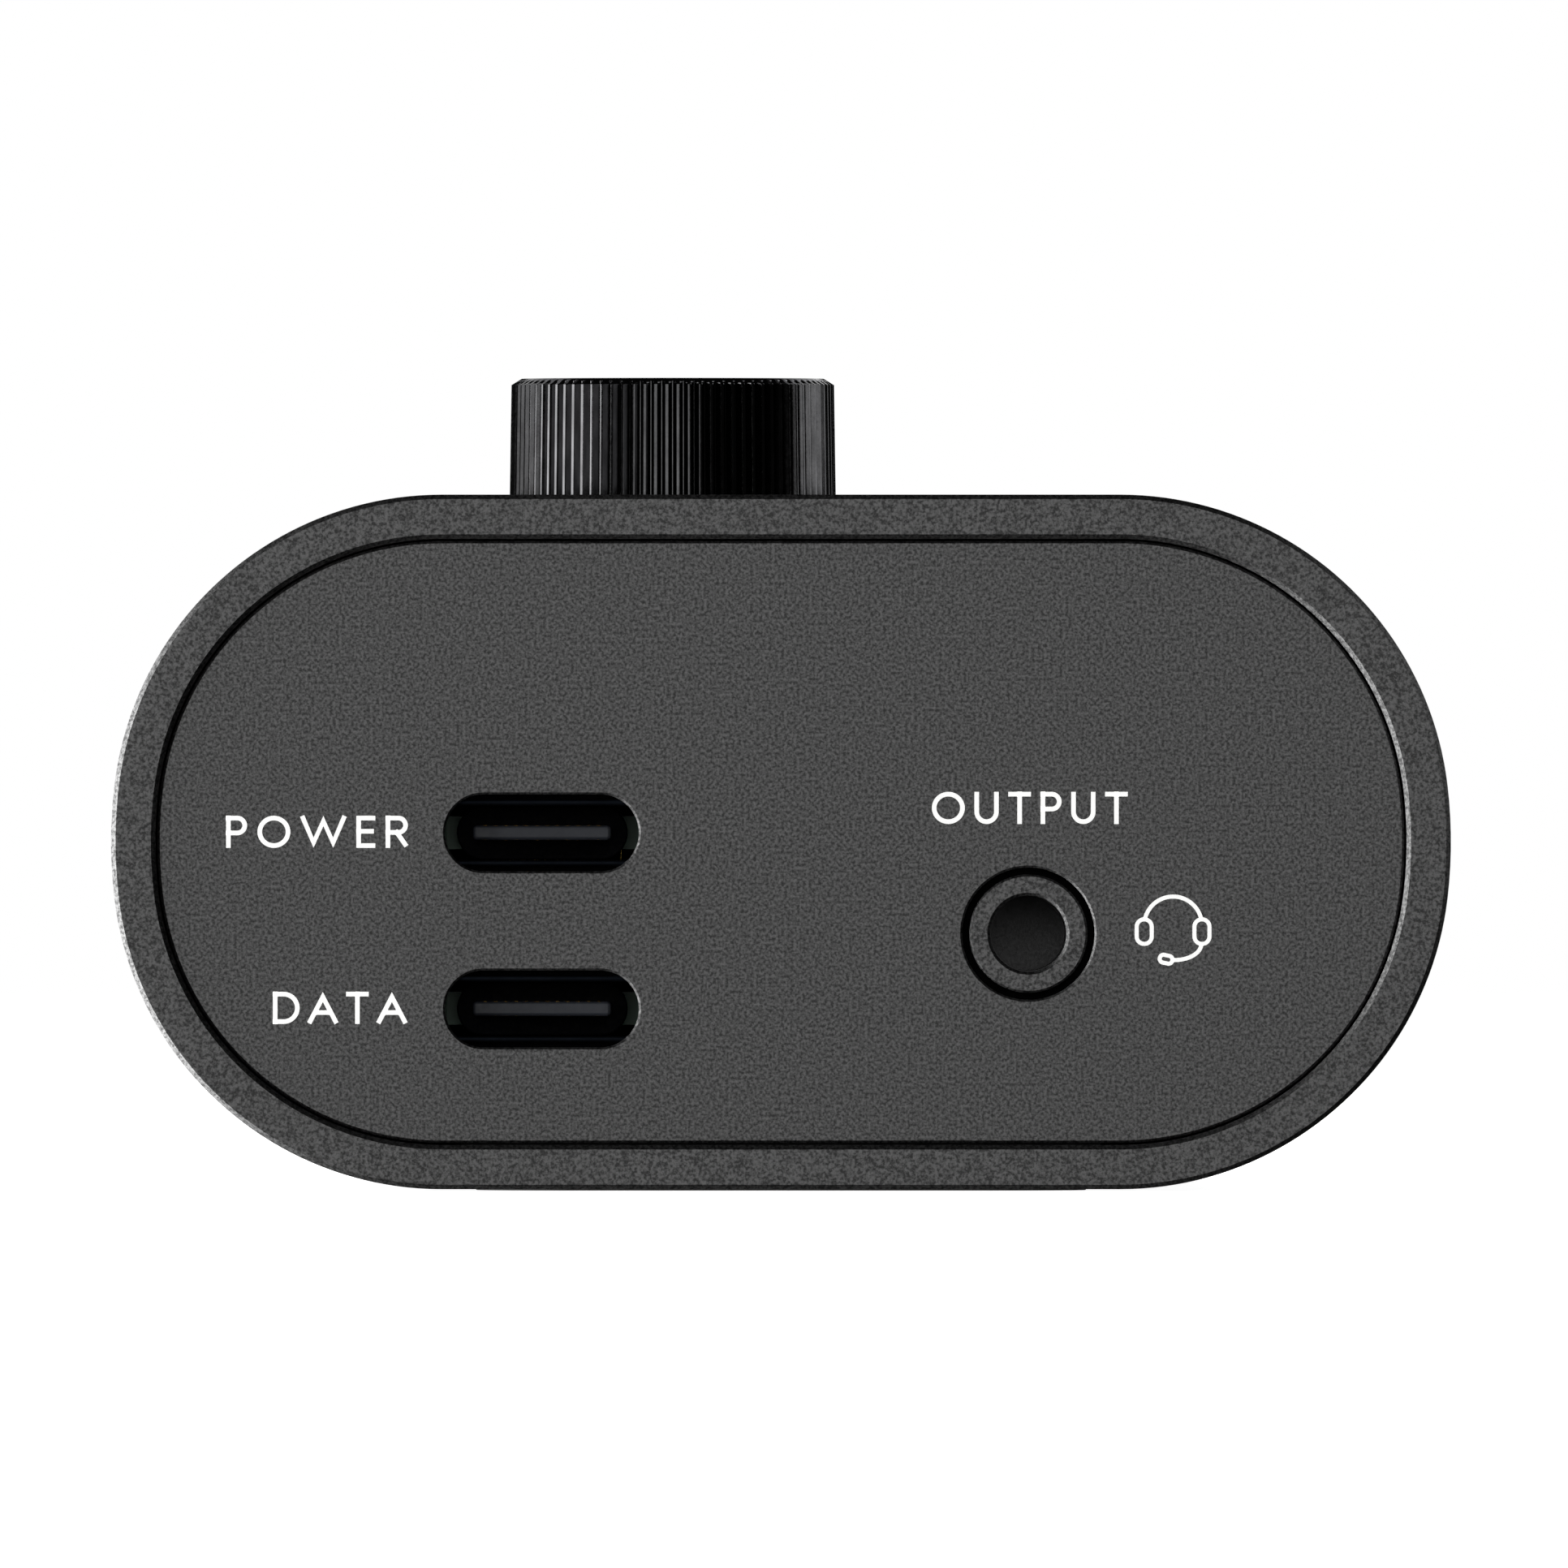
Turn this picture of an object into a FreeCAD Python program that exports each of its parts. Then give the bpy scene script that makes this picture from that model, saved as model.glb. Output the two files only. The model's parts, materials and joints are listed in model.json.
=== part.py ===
"""Compact desktop audio interface: a pill-section metal tube with a plate in each end and a knob on top.

Frame: the origin is on the surface the interface stands on, under the middle of its box. X is across,
Y is along the tube with the connector end at -Y, Z is up. Millimetres.
Inside, two boards are stacked on a moulded carrier. Each board's edge holds a port at its mid thickness,
so the boards' spacing is the ports' spacing. A push encoder on the upper board carries the knob.
"""
import FreeCAD, Part
import math
import os
import re
import Sketcher
from FreeCAD import Rotation, Vector

SIZES = {
    # Housing tube: a flat top and bottom, large corner arcs and a flatter arc down each flank.
    "body_width": 65.0,
    "body_height": 33.7,
    "body_length": 92.0,
    "wall": 2.15,
    "flank_half": 0.86,
    "flank_angle": 6.75,
    "mouth_break": 0.17,
    # End plates, set back in the tube with a thin gap all round.
    "plate_thickness": 2.0,
    "plate_recess": 0.25,
    "plate_gap": 0.1,
    "plate_break": 0.12,
    "tab_width": 7.0,
    "tab_reach": 8.0,
    "tab_thickness": 2.5,
    # Base pad and the screws that it hides.
    "pad_proud": 0.1,
    "pad_recess": 0.6,
    "pad_side_margin": 1.43,
    "pad_end_margin": 6.0,
    "pad_corner": 5.0,
    "pad_gap": 0.15,
    "base_screw_radius": 1.0,
    "base_screw_head_radius": 1.9,
    "base_screw_inset": 4.5,
    # Carrier and boards.
    "carrier_floor": 1.6,
    "carrier_side_gap": 0.93,
    "carrier_slack": 0.2,
    "post_radius": 2.6,
    "post_inset": 13.0,
    "post_end_inset": 3.2,
    "front_post_back": 19.0,
    "rear_post_back": 10.75,
    "board_thickness": 1.6,
    "board_side_gap": 2.7,
    "board_end_gap": 0.45,
    "board_jack_gap": 1.35,
    "board_screw_radius": 1.25,
    "board_screw_grip": 3.6,
    "standoff_flats": 4.6,
    "header_inset": 5.0,
    "header_back": 24.0,
    "header_pins": 6,
    "header_pitch": 2.54,
    "socket_rise": 4.5,
    # Data port below, power port above.
    "port_side": 11.6,
    "data_port_rise": 8.85,
    "port_spacing": 8.54,
    "port_width": 8.94,
    "port_height": 3.26,
    "port_skin": 0.3,
    "port_depth": 8.0,
    "port_setback": 0.35,
    "port_base": 2.6,
    "port_window_gap": 0.235,
    "leg_inset": 0.6,
    "leg_spacing": 3.6,
    "leg_length": 1.2,
    "leg_reach": 1.4,
    "tongue_width": 6.69,
    "tongue_thickness": 0.7,
    "tongue_setback": 0.9,
    "contact_count": 12,
    "contact_pitch": 0.5,
    "contact_width": 0.26,
    "contact_thickness": 0.06,
    # Jacks.
    "output_side": 12.0,
    "output_rise": 12.5,
    "output_bore": 1.85,
    "output_rim": 1.02,
    "output_depth": 13.9,
    "output_body_width": 6.6,
    "input_bore": 3.25,
    "input_rim": 1.75,
    "input_depth": 30.2,
    "input_body_width": 15.5,
    "jack_gap": 0.34,
    "jack_setback": 0.1,
    "jack_break": 0.14,
    "jack_end_wall": 1.2,
    "blade_thickness": 0.3,
    "blade_width": 1.2,
    "blade_clearance": 0.12,
    # Encoder, measured up from the upper board.
    "knob_side": -5.3,
    "knob_back": 30.0,
    "press_travel": 0.5,
    "encoder_width": 12.0,
    "encoder_length": 13.0,
    "encoder_rise": 4.6,
    "encoder_floor": 0.4,
    "rotor_radius": 4.6,
    "rotor_level": 2.4,
    "rotor_thickness": 1.4,
    "rotor_gap": 0.35,
    "dome_radius": 3.0,
    "dome_rise": 0.3,
    "dome_skin": 0.1,
    "plunger_radius": 2.6,
    "plunger_thickness": 0.6,
    "cover_thickness": 0.8,
    "claw_thickness": 0.4,
    "bushing_radius": 3.5,
    "bushing_knob_gap": 1.6,
    "shaft_radius": 3.0,
    "shaft_flat": 1.5,
    "shaft_cover": 1.4,
    "stub_radius": 2.0,
    "stub_flat": 1.4,
    "running_gap": 0.05,
    "pin_radius": 0.4,
    # Knob.
    "knob_radius": 8.0,
    "knob_rise": 5.8,
    "knob_sink": 1.1,
    "knob_gap": 0.35,
    "knob_wall": 1.5,
    "knob_roof": 1.2,
    "knob_boss": 4.6,
    "knob_break": 0.5,
    "knob_break_drop": 0.31,
    "ridge_count": 90,
    "ridge_depth": 0.32,
    "ridge_crest": 0.14,
    "groove_floor": 0.04,
    # Indicator lights beside the knob.
    "lamp_side": 9.0,
    "lamp_pitch": 5.0,
    "lamp_radius": 0.98,
    "lamp_gap": 0.03,
    "lamp_holder_gap": 3.46,
    "led_rise": 0.9,
}

# Levels and stations worked out from the sizes.
MIDDLE = "(pad_proud + body_height / 2)"
TOP = "(pad_proud + body_height)"
FLOOR = "(pad_proud + wall)"
FRONT = "(-body_length / 2)"
PLATE_FACE = f"({FRONT} + plate_recess)"
PLATE_BACK = f"({PLATE_FACE} + plate_thickness)"
CARRIER_TOP = f"({FLOOR} + carrier_floor)"
BOARD_FRONT = f"({PLATE_BACK} + board_end_gap)"
MAIN_UNDERSIDE = "(data_port_rise - board_thickness / 2)"
MAIN_TOP = "(data_port_rise + board_thickness / 2)"
UPPER_UNDERSIDE = f"({MAIN_UNDERSIDE} + port_spacing)"
UPPER_TOP = f"({MAIN_TOP} + port_spacing)"
PORT_MOUTH = f"({PLATE_FACE} + port_setback)"
KNOB_STATION = f"({FRONT} + knob_back)"
SCREW_STATION = f"(-{PLATE_BACK} - tab_reach / 2)"
UPPER_END = f"(-{PLATE_BACK} - input_depth - board_jack_gap)"
CORNER = "(body_height / 2 - flank_half)"
FLAT_HALF = f"(body_width / 2 - {CORNER} - flank_half * tan(flank_angle / 2))"
PAD_WIDTH = f"(2 * ({FLAT_HALF} - pad_side_margin))"
PAD_LENGTH = "(body_length - 2 * pad_end_margin)"
CARRIER_HALF = f"({FLAT_HALF} - carrier_side_gap)"
SCREW_SIDE = f"({CARRIER_HALF} - base_screw_inset)"
BOARD_DROP = f"({MIDDLE} - flank_half - {MAIN_UNDERSIDE})"
CORNER_REACH = f"sqrt(({CORNER} - wall) * ({CORNER} - wall) - {BOARD_DROP} * {BOARD_DROP})"
BOARD_HALF = f"({FLAT_HALF} + {CORNER_REACH} - board_side_gap)"
POST_SIDE = f"({BOARD_HALF} - post_inset)"
BUSHING_TOP = f"({TOP} - knob_sink - press_travel - bushing_knob_gap - {UPPER_TOP})"
SHAFT_TOP = f"({TOP} + knob_rise - shaft_cover - {UPPER_TOP})"
SHAFT_STEP = "(encoder_rise + 0.6)"
PLUNGER_TOP = "(encoder_floor + dome_rise + press_travel + plunger_thickness + running_gap)"

doc = FreeCAD.newDocument("AudioInterface")
sheet = doc.addObject("Spreadsheet::Sheet", "Sizes")
for row, (name, size) in enumerate(SIZES.items(), start=1):
    sheet.set(f"A{row}", name)
    sheet.set(f"B{row}", str(size))
    sheet.setAlias(f"B{row}", name)
doc.recompute()
sub_parts = []


# --- formulas -------------------------------------------------------------------------------------

def linked(formula):
    """The formula with each size's name pointed at its cell in the sheet."""
    return re.sub("[a-z_]+", lambda word: f"Sizes.{word[0]}" if word[0] in SIZES else word[0], formula)


def value(formula):
    """What the formula comes to with the sheet's present sizes."""
    return float(sheet.evalExpression(linked(formula)))


def bind(thing, prop, formula):
    """Ties a property of a document object to a formula of the sheet's sizes."""
    thing.setExpression(prop, linked(formula))


# --- sketch outlines ------------------------------------------------------------------------------

def pin_point(sketch, edge, end, x, y):
    """Holds one end (1 start, 2 end, 3 centre) of a sketch edge at x, y from the sketch's origin."""
    for kind, formula in (("DistanceX", x), ("DistanceY", y)):
        number = sketch.addConstraint(Sketcher.Constraint(kind, -1, 1, edge, end, value(formula)))
        bind(sketch, f"Constraints[{number}]", formula)


def pin_radius(sketch, edge, radius):
    number = sketch.addConstraint(Sketcher.Constraint("Radius", edge, value(radius)))
    bind(sketch, f"Constraints[{number}]", radius)


def circle(x, y, radius):
    def draw(sketch):
        edge = sketch.addGeometry(Part.Circle(Vector(value(x), value(y), 0), Vector(0, 0, 1), value(radius)))
        pin_point(sketch, edge, 3, x, y)
        pin_radius(sketch, edge, radius)
    return draw


def arc_between(start, finish, radius):
    """The shorter arc that turns left from start to finish, and its centre's side."""
    chord = finish - start
    rise = math.sqrt(max(radius ** 2 - (chord.Length / 2) ** 2, 0))
    centre = (start + finish) * 0.5 + Vector(-chord.y, chord.x, 0).normalize() * rise
    angles = [math.atan2(point.y - centre.y, point.x - centre.x) for point in (start, finish)]
    return Part.ArcOfCircle(Part.Circle(centre, Vector(0, 0, 1), radius), *angles)


def outline(*corners):
    """A closed outline, anticlockwise. A corner is (x, y), or (x, y, radius) where an arc follows it."""
    def draw(sketch):
        points = [Vector(value(corner[0]), value(corner[1]), 0) for corner in corners]
        edges = []
        for corner, start, finish in zip(corners, points, points[1:] + points[:1]):
            if len(corner) == 3:
                edges.append(sketch.addGeometry(arc_between(start, finish, value(corner[2]))))
            else:
                edges.append(sketch.addGeometry(Part.LineSegment(start, finish)))
        for edge, following in zip(edges, edges[1:] + edges[:1]):
            sketch.addConstraint(Sketcher.Constraint("Coincident", edge, 2, following, 1))
        for edge, corner in zip(edges, corners):
            pin_point(sketch, edge, 1, corner[0], corner[1])
            if len(corner) == 3:
                pin_radius(sketch, edge, corner[2])
    return draw


def rectangle(left, bottom, right, top):
    return outline((left, bottom), (right, bottom), (right, top), (left, top))


def block(x, y, width, length):
    """A rectangle given by its centre and its two sides."""
    return rectangle(f"{x} - {width} / 2", f"{y} - {length} / 2", f"{x} + {width} / 2", f"{y} + {length} / 2")


def rounded_block(x, y, width, length, radius):
    left, right = f"({x} - {width} / 2)", f"({x} + {width} / 2)"
    low, high = f"({y} - {length} / 2)", f"({y} + {length} / 2)"
    return outline(
        (f"{left} + {radius}", low), (f"{right} - {radius}", low, radius),
        (right, f"{low} + {radius}"), (right, f"{high} - {radius}", radius),
        (f"{right} - {radius}", high), (f"{left} + {radius}", high, radius),
        (left, f"{high} - {radius}"), (left, f"{low} + {radius}", radius))


def full_round_slot(x, y, width, height):
    """Two level lines joined by two half circles."""
    def draw(sketch):
        reach, radius = f"({width} / 2 - {height} / 2)", f"({height} / 2)"
        rise, run = Vector(0, value(radius), 0), Vector(value(reach), 0, 0)
        middle, up = Vector(value(x), value(y), 0), Vector(0, 0, 1)
        right = sketch.addGeometry(Part.ArcOfCircle(
            Part.Circle(middle + run, up, value(radius)), -math.pi / 2, math.pi / 2))
        top = sketch.addGeometry(Part.LineSegment(middle + run + rise, middle - run + rise))
        left = sketch.addGeometry(Part.ArcOfCircle(
            Part.Circle(middle - run, up, value(radius)), math.pi / 2, 3 * math.pi / 2))
        bottom = sketch.addGeometry(Part.LineSegment(middle - run - rise, middle + run - rise))
        loop = [right, top, left, bottom]
        for edge, following in zip(loop, loop[1:] + loop[:1]):
            sketch.addConstraint(Sketcher.Constraint("Tangent", edge, 2, following, 1))
        pin_point(sketch, right, 3, f"{x} + {reach}", y)
        pin_point(sketch, left, 3, f"{x} - {reach}", y)
        pin_radius(sketch, right, radius)
    return draw


def hexagon(x, y, flats):
    tip = f"({flats} / 2 / cos(30))"
    return outline(*((f"{x} + {tip} * cos({turn})", f"{y} + {tip} * sin({turn})")
                     for turn in range(0, 360, 60)))


def flatted_circle(radius, flat):
    """A D section: a circle round the origin cut off at x = flat."""
    half = f"sqrt({radius} * {radius} - {flat} * {flat})"

    def draw(sketch):
        turn = math.acos(value(flat) / value(radius))
        rim = sketch.addGeometry(Part.ArcOfCircle(
            Part.Circle(Vector(0, 0, 0), Vector(0, 0, 1), value(radius)), turn, 2 * math.pi - turn))
        chord = sketch.addGeometry(Part.LineSegment(
            Vector(value(flat), -value(half), 0), Vector(value(flat), value(half), 0)))
        sketch.addConstraint(Sketcher.Constraint("Coincident", rim, 2, chord, 1))
        sketch.addConstraint(Sketcher.Constraint("Coincident", chord, 2, rim, 1))
        pin_point(sketch, rim, 3, "0", "0")
        pin_point(sketch, chord, 1, flat, f"-{half}")
        sketch.addConstraint(Sketcher.Constraint("Vertical", chord))
    return draw


def tube_section(inset):
    """The housing's outline moved in by inset: each corner arc meets the flank arc at flank_angle."""
    radius = f"({CORNER} - {inset})"
    centre = FLAT_HALF
    flank = f"({radius} + flank_half / sin(flank_angle))"
    side = f"({centre} + {radius} * cos(flank_angle))"
    rise = f"(flank_half + {radius} * sin(flank_angle))"
    top = f"(flank_half + {radius})"
    return outline(
        (side, f"-{rise}", flank), (side, rise, radius), (centre, top), (f"-{centre}", top, radius),
        (f"-{side}", rise, flank), (f"-{side}", f"-{rise}", radius), (f"-{centre}", f"-{top}"),
        (centre, f"-{top}", radius))


# --- bodies and features --------------------------------------------------------------------------

def new_body(label, x="0", y="0", z="0", turn=0):
    """A sub-part with its own frame at x, y, z, turned about Z. Its label is its node's name."""
    body = doc.addObject("PartDesign::Body", label)
    body.Label = label
    body.Placement = FreeCAD.Placement(Vector(), Rotation(Vector(0, 0, 1), turn))
    for axis, formula in (("x", x), ("y", y), ("z", z)):
        bind(body, f"Placement.Base.{axis}", formula)
    sub_parts.append(body)
    return body


def sketch_on(body, plane, level, *outlines):
    """A sketch on one of the body's origin planes, moved along the plane's normal by level."""
    sketch = body.newObject("Sketcher::SketchObject", body.Label + "_sketch")
    support = next(item for item in body.Origin.OriginFeatures if item.Role == plane)
    sketch.AttachmentSupport = [(support, "")]
    sketch.MapMode = "FlatFace"
    bind(sketch, "AttachmentOffset.Base.z", level)
    for draw in outlines:
        draw(sketch)
    return sketch


def pad(body, plane, level, length, *outlines, backward=False, symmetric=False):
    feature = body.newObject("PartDesign::Pad", body.Label + "_pad")
    feature.Profile = (sketch_on(body, plane, level, *outlines), [""])
    bind(feature, "Length", length)
    feature.Reversed = backward
    feature.SideType = "Symmetric" if symmetric else "One side"
    return feature


def cut(body, plane, level, length, *outlines, forward=False):
    """A pocket that goes against the plane's normal, or along it when forward."""
    feature = body.newObject("PartDesign::Pocket", body.Label + "_pocket")
    feature.Profile = (sketch_on(body, plane, level, *outlines), [""])
    bind(feature, "Length", length)
    feature.Reversed = forward
    return feature


def turned(body, plane, *outlines, groove=False):
    """A full turn of the outlines about the sketch's upright axis, added or cut away."""
    kind = "PartDesign::Groove" if groove else "PartDesign::Revolution"
    feature = body.newObject(kind, body.Label + ("_groove" if groove else "_turned"))
    sketch = sketch_on(body, plane, "0", *outlines)
    feature.Profile = (sketch, [""])
    feature.ReferenceAxis = (sketch, ["V_Axis"])
    feature.Angle = 360
    return feature


def chamfered(body, size, keep):
    """Breaks each edge of the body's last feature that keep chooses."""
    base = body.Tip
    doc.recompute()
    names = [f"Edge{number}" for number, edge in enumerate(base.Shape.Edges, start=1) if keep(edge)]
    feature = body.newObject("PartDesign::Chamfer", body.Label + "_chamfer")
    feature.Base = (base, names)
    bind(feature, "Size", size)
    return feature


def lies_at(edge, axis, level):
    """Whether the whole edge lies in the plane where that coordinate equals level."""
    low, high = getattr(edge.BoundBox, axis + "Min"), getattr(edge.BoundBox, axis + "Max")
    return abs(low - level) < 1e-4 and abs(high - level) < 1e-4


def repeated(body, feature, axis, span, count):
    """A row of copies of one feature, count in all, over the length span along a sketch axis."""
    row_of = body.newObject("PartDesign::LinearPattern", body.Label + "_row")
    row_of.Originals = [feature]
    row_of.Direction = (feature.Profile[0], [axis])
    bind(row_of, "Length", span)
    bind(row_of, "Occurrences", count)
    body.Tip = row_of
    return row_of


def both_sides(side, *stations):
    """Places to the left and right of the middle at each station along the tube."""
    return [(f"{sign}{side}", station) for station in stations for sign in ("-", "")]


BASE_SCREWS = both_sides(SCREW_SIDE, f"-{SCREW_STATION}", SCREW_STATION)
STANDOFFS = both_sides(POST_SIDE, f"({FRONT} + front_post_back)", f"({UPPER_END} - post_end_inset)")
REAR_POSTS = both_sides("(input_body_width / 2 + board_screw_radius * 1.7 + 2)",
                        f"(-{PLATE_BACK} - rear_post_back)")
POSTS = STANDOFFS + REAR_POSTS
LAMPS = [("lamp_side", f"({KNOB_STATION} + lamp_pitch * {step})") for step in (-1, 0, 1)]
ENCODER_PINS = [(f"encoder_width * {x}", f"encoder_length * {y}")
                for x, y in ((-0.21, -0.42), (0, -0.42), (0.21, -0.42), (-0.21, 0.42), (0.21, 0.42))]


# --- housing --------------------------------------------------------------------------------------

def housing_shell():
    """Extruded tube, broken at both mouths, with the knob's hole, lamp holes and the base recess."""
    body = new_body("housing_shell", z=MIDDLE)
    pad(body, "XZ_Plane", "0", "body_length", tube_section("0"), tube_section("wall"), symmetric=True)
    end = value("body_length / 2")
    chamfered(body, "mouth_break", lambda edge: lies_at(edge, "Y", end) or lies_at(edge, "Y", -end))
    cut(body, "XY_Plane", "body_height / 2", "wall * 2",
        circle("knob_side", KNOB_STATION, "knob_radius + knob_gap"),
        *(circle(x, y, "lamp_radius + lamp_gap") for x, y in LAMPS))
    cut(body, "XY_Plane", "-body_height / 2", "pad_recess",
        rounded_block("0", "0", PAD_WIDTH, PAD_LENGTH, "pad_corner"), forward=True)
    doc.recompute()
    holes = body.newObject("PartDesign::Hole", "base_screw_holes")
    holes.Profile = sketch_on(body, "XY_Plane", "pad_recess - body_height / 2",
                              *(circle(x, y, "base_screw_radius") for x, y in BASE_SCREWS))
    doc.recompute()
    holes.Reversed = True
    holes.DepthType = "Dimension"
    holes.DrillPoint = "Flat"
    bind(holes, "Depth", "wall")
    bind(holes, "Diameter", "(base_screw_radius + running_gap) * 2")
    holes.HoleCutType = "Countersink"
    bind(holes, "HoleCutDiameter", "(base_screw_head_radius + running_gap) * 2")
    holes.HoleCutCountersinkAngle = 90


def end_plate(label, turn, face_station):
    """A plate in the tube's section, edges broken, with two tapped tabs that the base screws pull down."""
    body = new_body(label, y=face_station, z=MIDDLE, turn=turn)
    pad(body, "XZ_Plane", "0", "plate_thickness", tube_section("(wall + plate_gap)"))
    face = -value("plate_thickness")
    chamfered(body, "plate_break", lambda edge: lies_at(edge, "Y", face))
    level = f"({CARRIER_TOP} - {MIDDLE})"
    tabs = [rectangle(f"{sign}{SCREW_SIDE} - tab_width / 2", level,
                      f"{sign}{SCREW_SIDE} + tab_width / 2", f"{level} + tab_thickness")
            for sign in ("-", "")]
    pad(body, "XZ_Plane", "0", "tab_reach", *tabs, backward=True)
    cut(body, "XY_Plane", f"{level} + tab_thickness", "tab_thickness",
        *(circle(f"{sign}{SCREW_SIDE}", "tab_reach / 2", "base_screw_radius + running_gap / 2")
          for sign in ("-", "")))
    return body


def connector_end_plate():
    body = end_plate("connector_end_plate", 0, PLATE_BACK)
    windows = [full_round_slot("-port_side", f"{rise} - {MIDDLE}", "(port_width + 2 * port_window_gap)",
                               "(port_height + 2 * port_window_gap)")
               for rise in ("data_port_rise", "(data_port_rise + port_spacing)")]
    hole = circle("output_side", f"output_rise - {MIDDLE}", "output_bore + output_rim + jack_gap")
    cut(body, "XZ_Plane", "plate_thickness", "plate_thickness", *windows, hole)


def input_end_plate():
    body = end_plate("input_end_plate", 180, f"-{PLATE_BACK}")
    cut(body, "XZ_Plane", "plate_thickness", "plate_thickness",
        circle("0", "0", "input_bore + input_rim + jack_gap"))


def base_pad():
    """Rubber sheet let into the underside, standing a little proud of it."""
    body = new_body("base_pad")
    pad(body, "XY_Plane", "0", "pad_proud + pad_recess",
        rounded_block("0", "0", f"({PAD_WIDTH} - 2 * pad_gap)", f"({PAD_LENGTH} - 2 * pad_gap)",
                      "(pad_corner - pad_gap)"))


def base_screws():
    """Countersunk screws up through the tube's floor and the carrier into the plates' tabs."""
    body = new_body("base_screws", z="pad_proud + pad_recess")
    shank = f"({CARRIER_TOP} + tab_thickness - pad_proud - pad_recess)"
    pad(body, "XY_Plane", "0", shank, *(circle(x, y, "base_screw_radius") for x, y in BASE_SCREWS))
    heads = pad(body, "XY_Plane", "0", "base_screw_head_radius - base_screw_radius",
                *(circle(x, y, "base_screw_head_radius") for x, y in BASE_SCREWS))
    heads.TaperAngle = -45
    cut(body, "XY_Plane", "0", "base_screw_radius * 0.6",
        *(hexagon(x, y, "base_screw_radius * 1.2") for x, y in BASE_SCREWS), forward=True)


def inner_carrier():
    """Moulded floor that the base screws clamp, with six tapped posts for the boards."""
    body = new_body("inner_carrier", z=FLOOR)
    reach = f"(-{PLATE_BACK} - carrier_slack)"
    pad(body, "XY_Plane", "0", "carrier_floor",
        rectangle(f"-{CARRIER_HALF}", f"-{reach}", CARRIER_HALF, reach))
    pad(body, "XY_Plane", "carrier_floor", f"{MAIN_UNDERSIDE} - {CARRIER_TOP}",
        *(circle(x, y, "post_radius") for x, y in POSTS))
    cut(body, "XY_Plane", f"{MAIN_UNDERSIDE} - {FLOOR}", "board_screw_grip + 0.4",
        *(circle(x, y, "board_screw_radius") for x, y in POSTS))
    cut(body, "XY_Plane", "carrier_floor", "carrier_floor",
        *(circle(x, y, "base_screw_radius + running_gap") for x, y in BASE_SCREWS))


# --- boards ---------------------------------------------------------------------------------------

def notched_board(label, underside, length, holes):
    """A board with a notch in its front edge, where a port sits at mid thickness."""
    body = new_body(label, y=BOARD_FRONT, z=underside)
    half = BOARD_HALF
    notch_depth = f"({PORT_MOUTH} + port_depth - {BOARD_FRONT} + board_end_gap)"
    left, right = "(-port_side - port_width / 2 - 0.2)", "(-port_side + port_width / 2 + 0.2)"
    pad(body, "XY_Plane", "0", "board_thickness", outline(
        (f"-{half}", "0"), (left, "0"), (left, notch_depth), (right, notch_depth), (right, "0"),
        (half, "0"), (half, length), (f"-{half}", length)))
    cut(body, "XY_Plane", "board_thickness", "board_thickness",
        *(circle(x, f"{y} - {BOARD_FRONT}", radius) for x, y, radius in holes))


def boards():
    clearance = "board_screw_radius + running_gap"
    notched_board("main_board", MAIN_UNDERSIDE, f"(-{BOARD_FRONT} * 2)", [(x, y, clearance) for x, y in POSTS])
    pins = [(f"knob_side + {x}", f"{KNOB_STATION} + {y}", "pin_radius + 0.15") for x, y in ENCODER_PINS]
    notched_board("control_board", UPPER_UNDERSIDE, f"({UPPER_END} - {BOARD_FRONT})",
                  [(x, y, clearance) for x, y in STANDOFFS] + pins)


def board_standoffs():
    """Hexagonal spacers whose studs hold the main board down on the carrier's posts."""
    body = new_body("board_standoffs", z=MAIN_TOP)
    gap = f"({UPPER_UNDERSIDE} - {MAIN_TOP})"
    pad(body, "XY_Plane", "0", gap, *(hexagon(x, y, "standoff_flats") for x, y in STANDOFFS))
    pad(body, "XY_Plane", "0", "board_thickness + board_screw_grip",
        *(circle(x, y, "board_screw_radius") for x, y in STANDOFFS), backward=True)
    cut(body, "XY_Plane", gap, "board_screw_grip + 0.4",
        *(circle(x, y, "board_screw_radius") for x, y in STANDOFFS))


def board_screws(label, seat, sites):
    """Pan-head screws, each head on the board and its shank through the board into what is below."""
    body = new_body(label, z=seat)
    pad(body, "XY_Plane", "0", "board_screw_radius",
        *(circle(x, y, "board_screw_radius * 1.7") for x, y in sites))
    pad(body, "XY_Plane", "0", "board_thickness + board_screw_grip",
        *(circle(x, y, "board_screw_radius") for x, y in sites), backward=True)
    cut(body, "XY_Plane", "board_screw_radius", "board_screw_radius * 0.6",
        *(hexagon(x, y, "board_screw_radius * 1.1") for x, y in sites))


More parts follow.
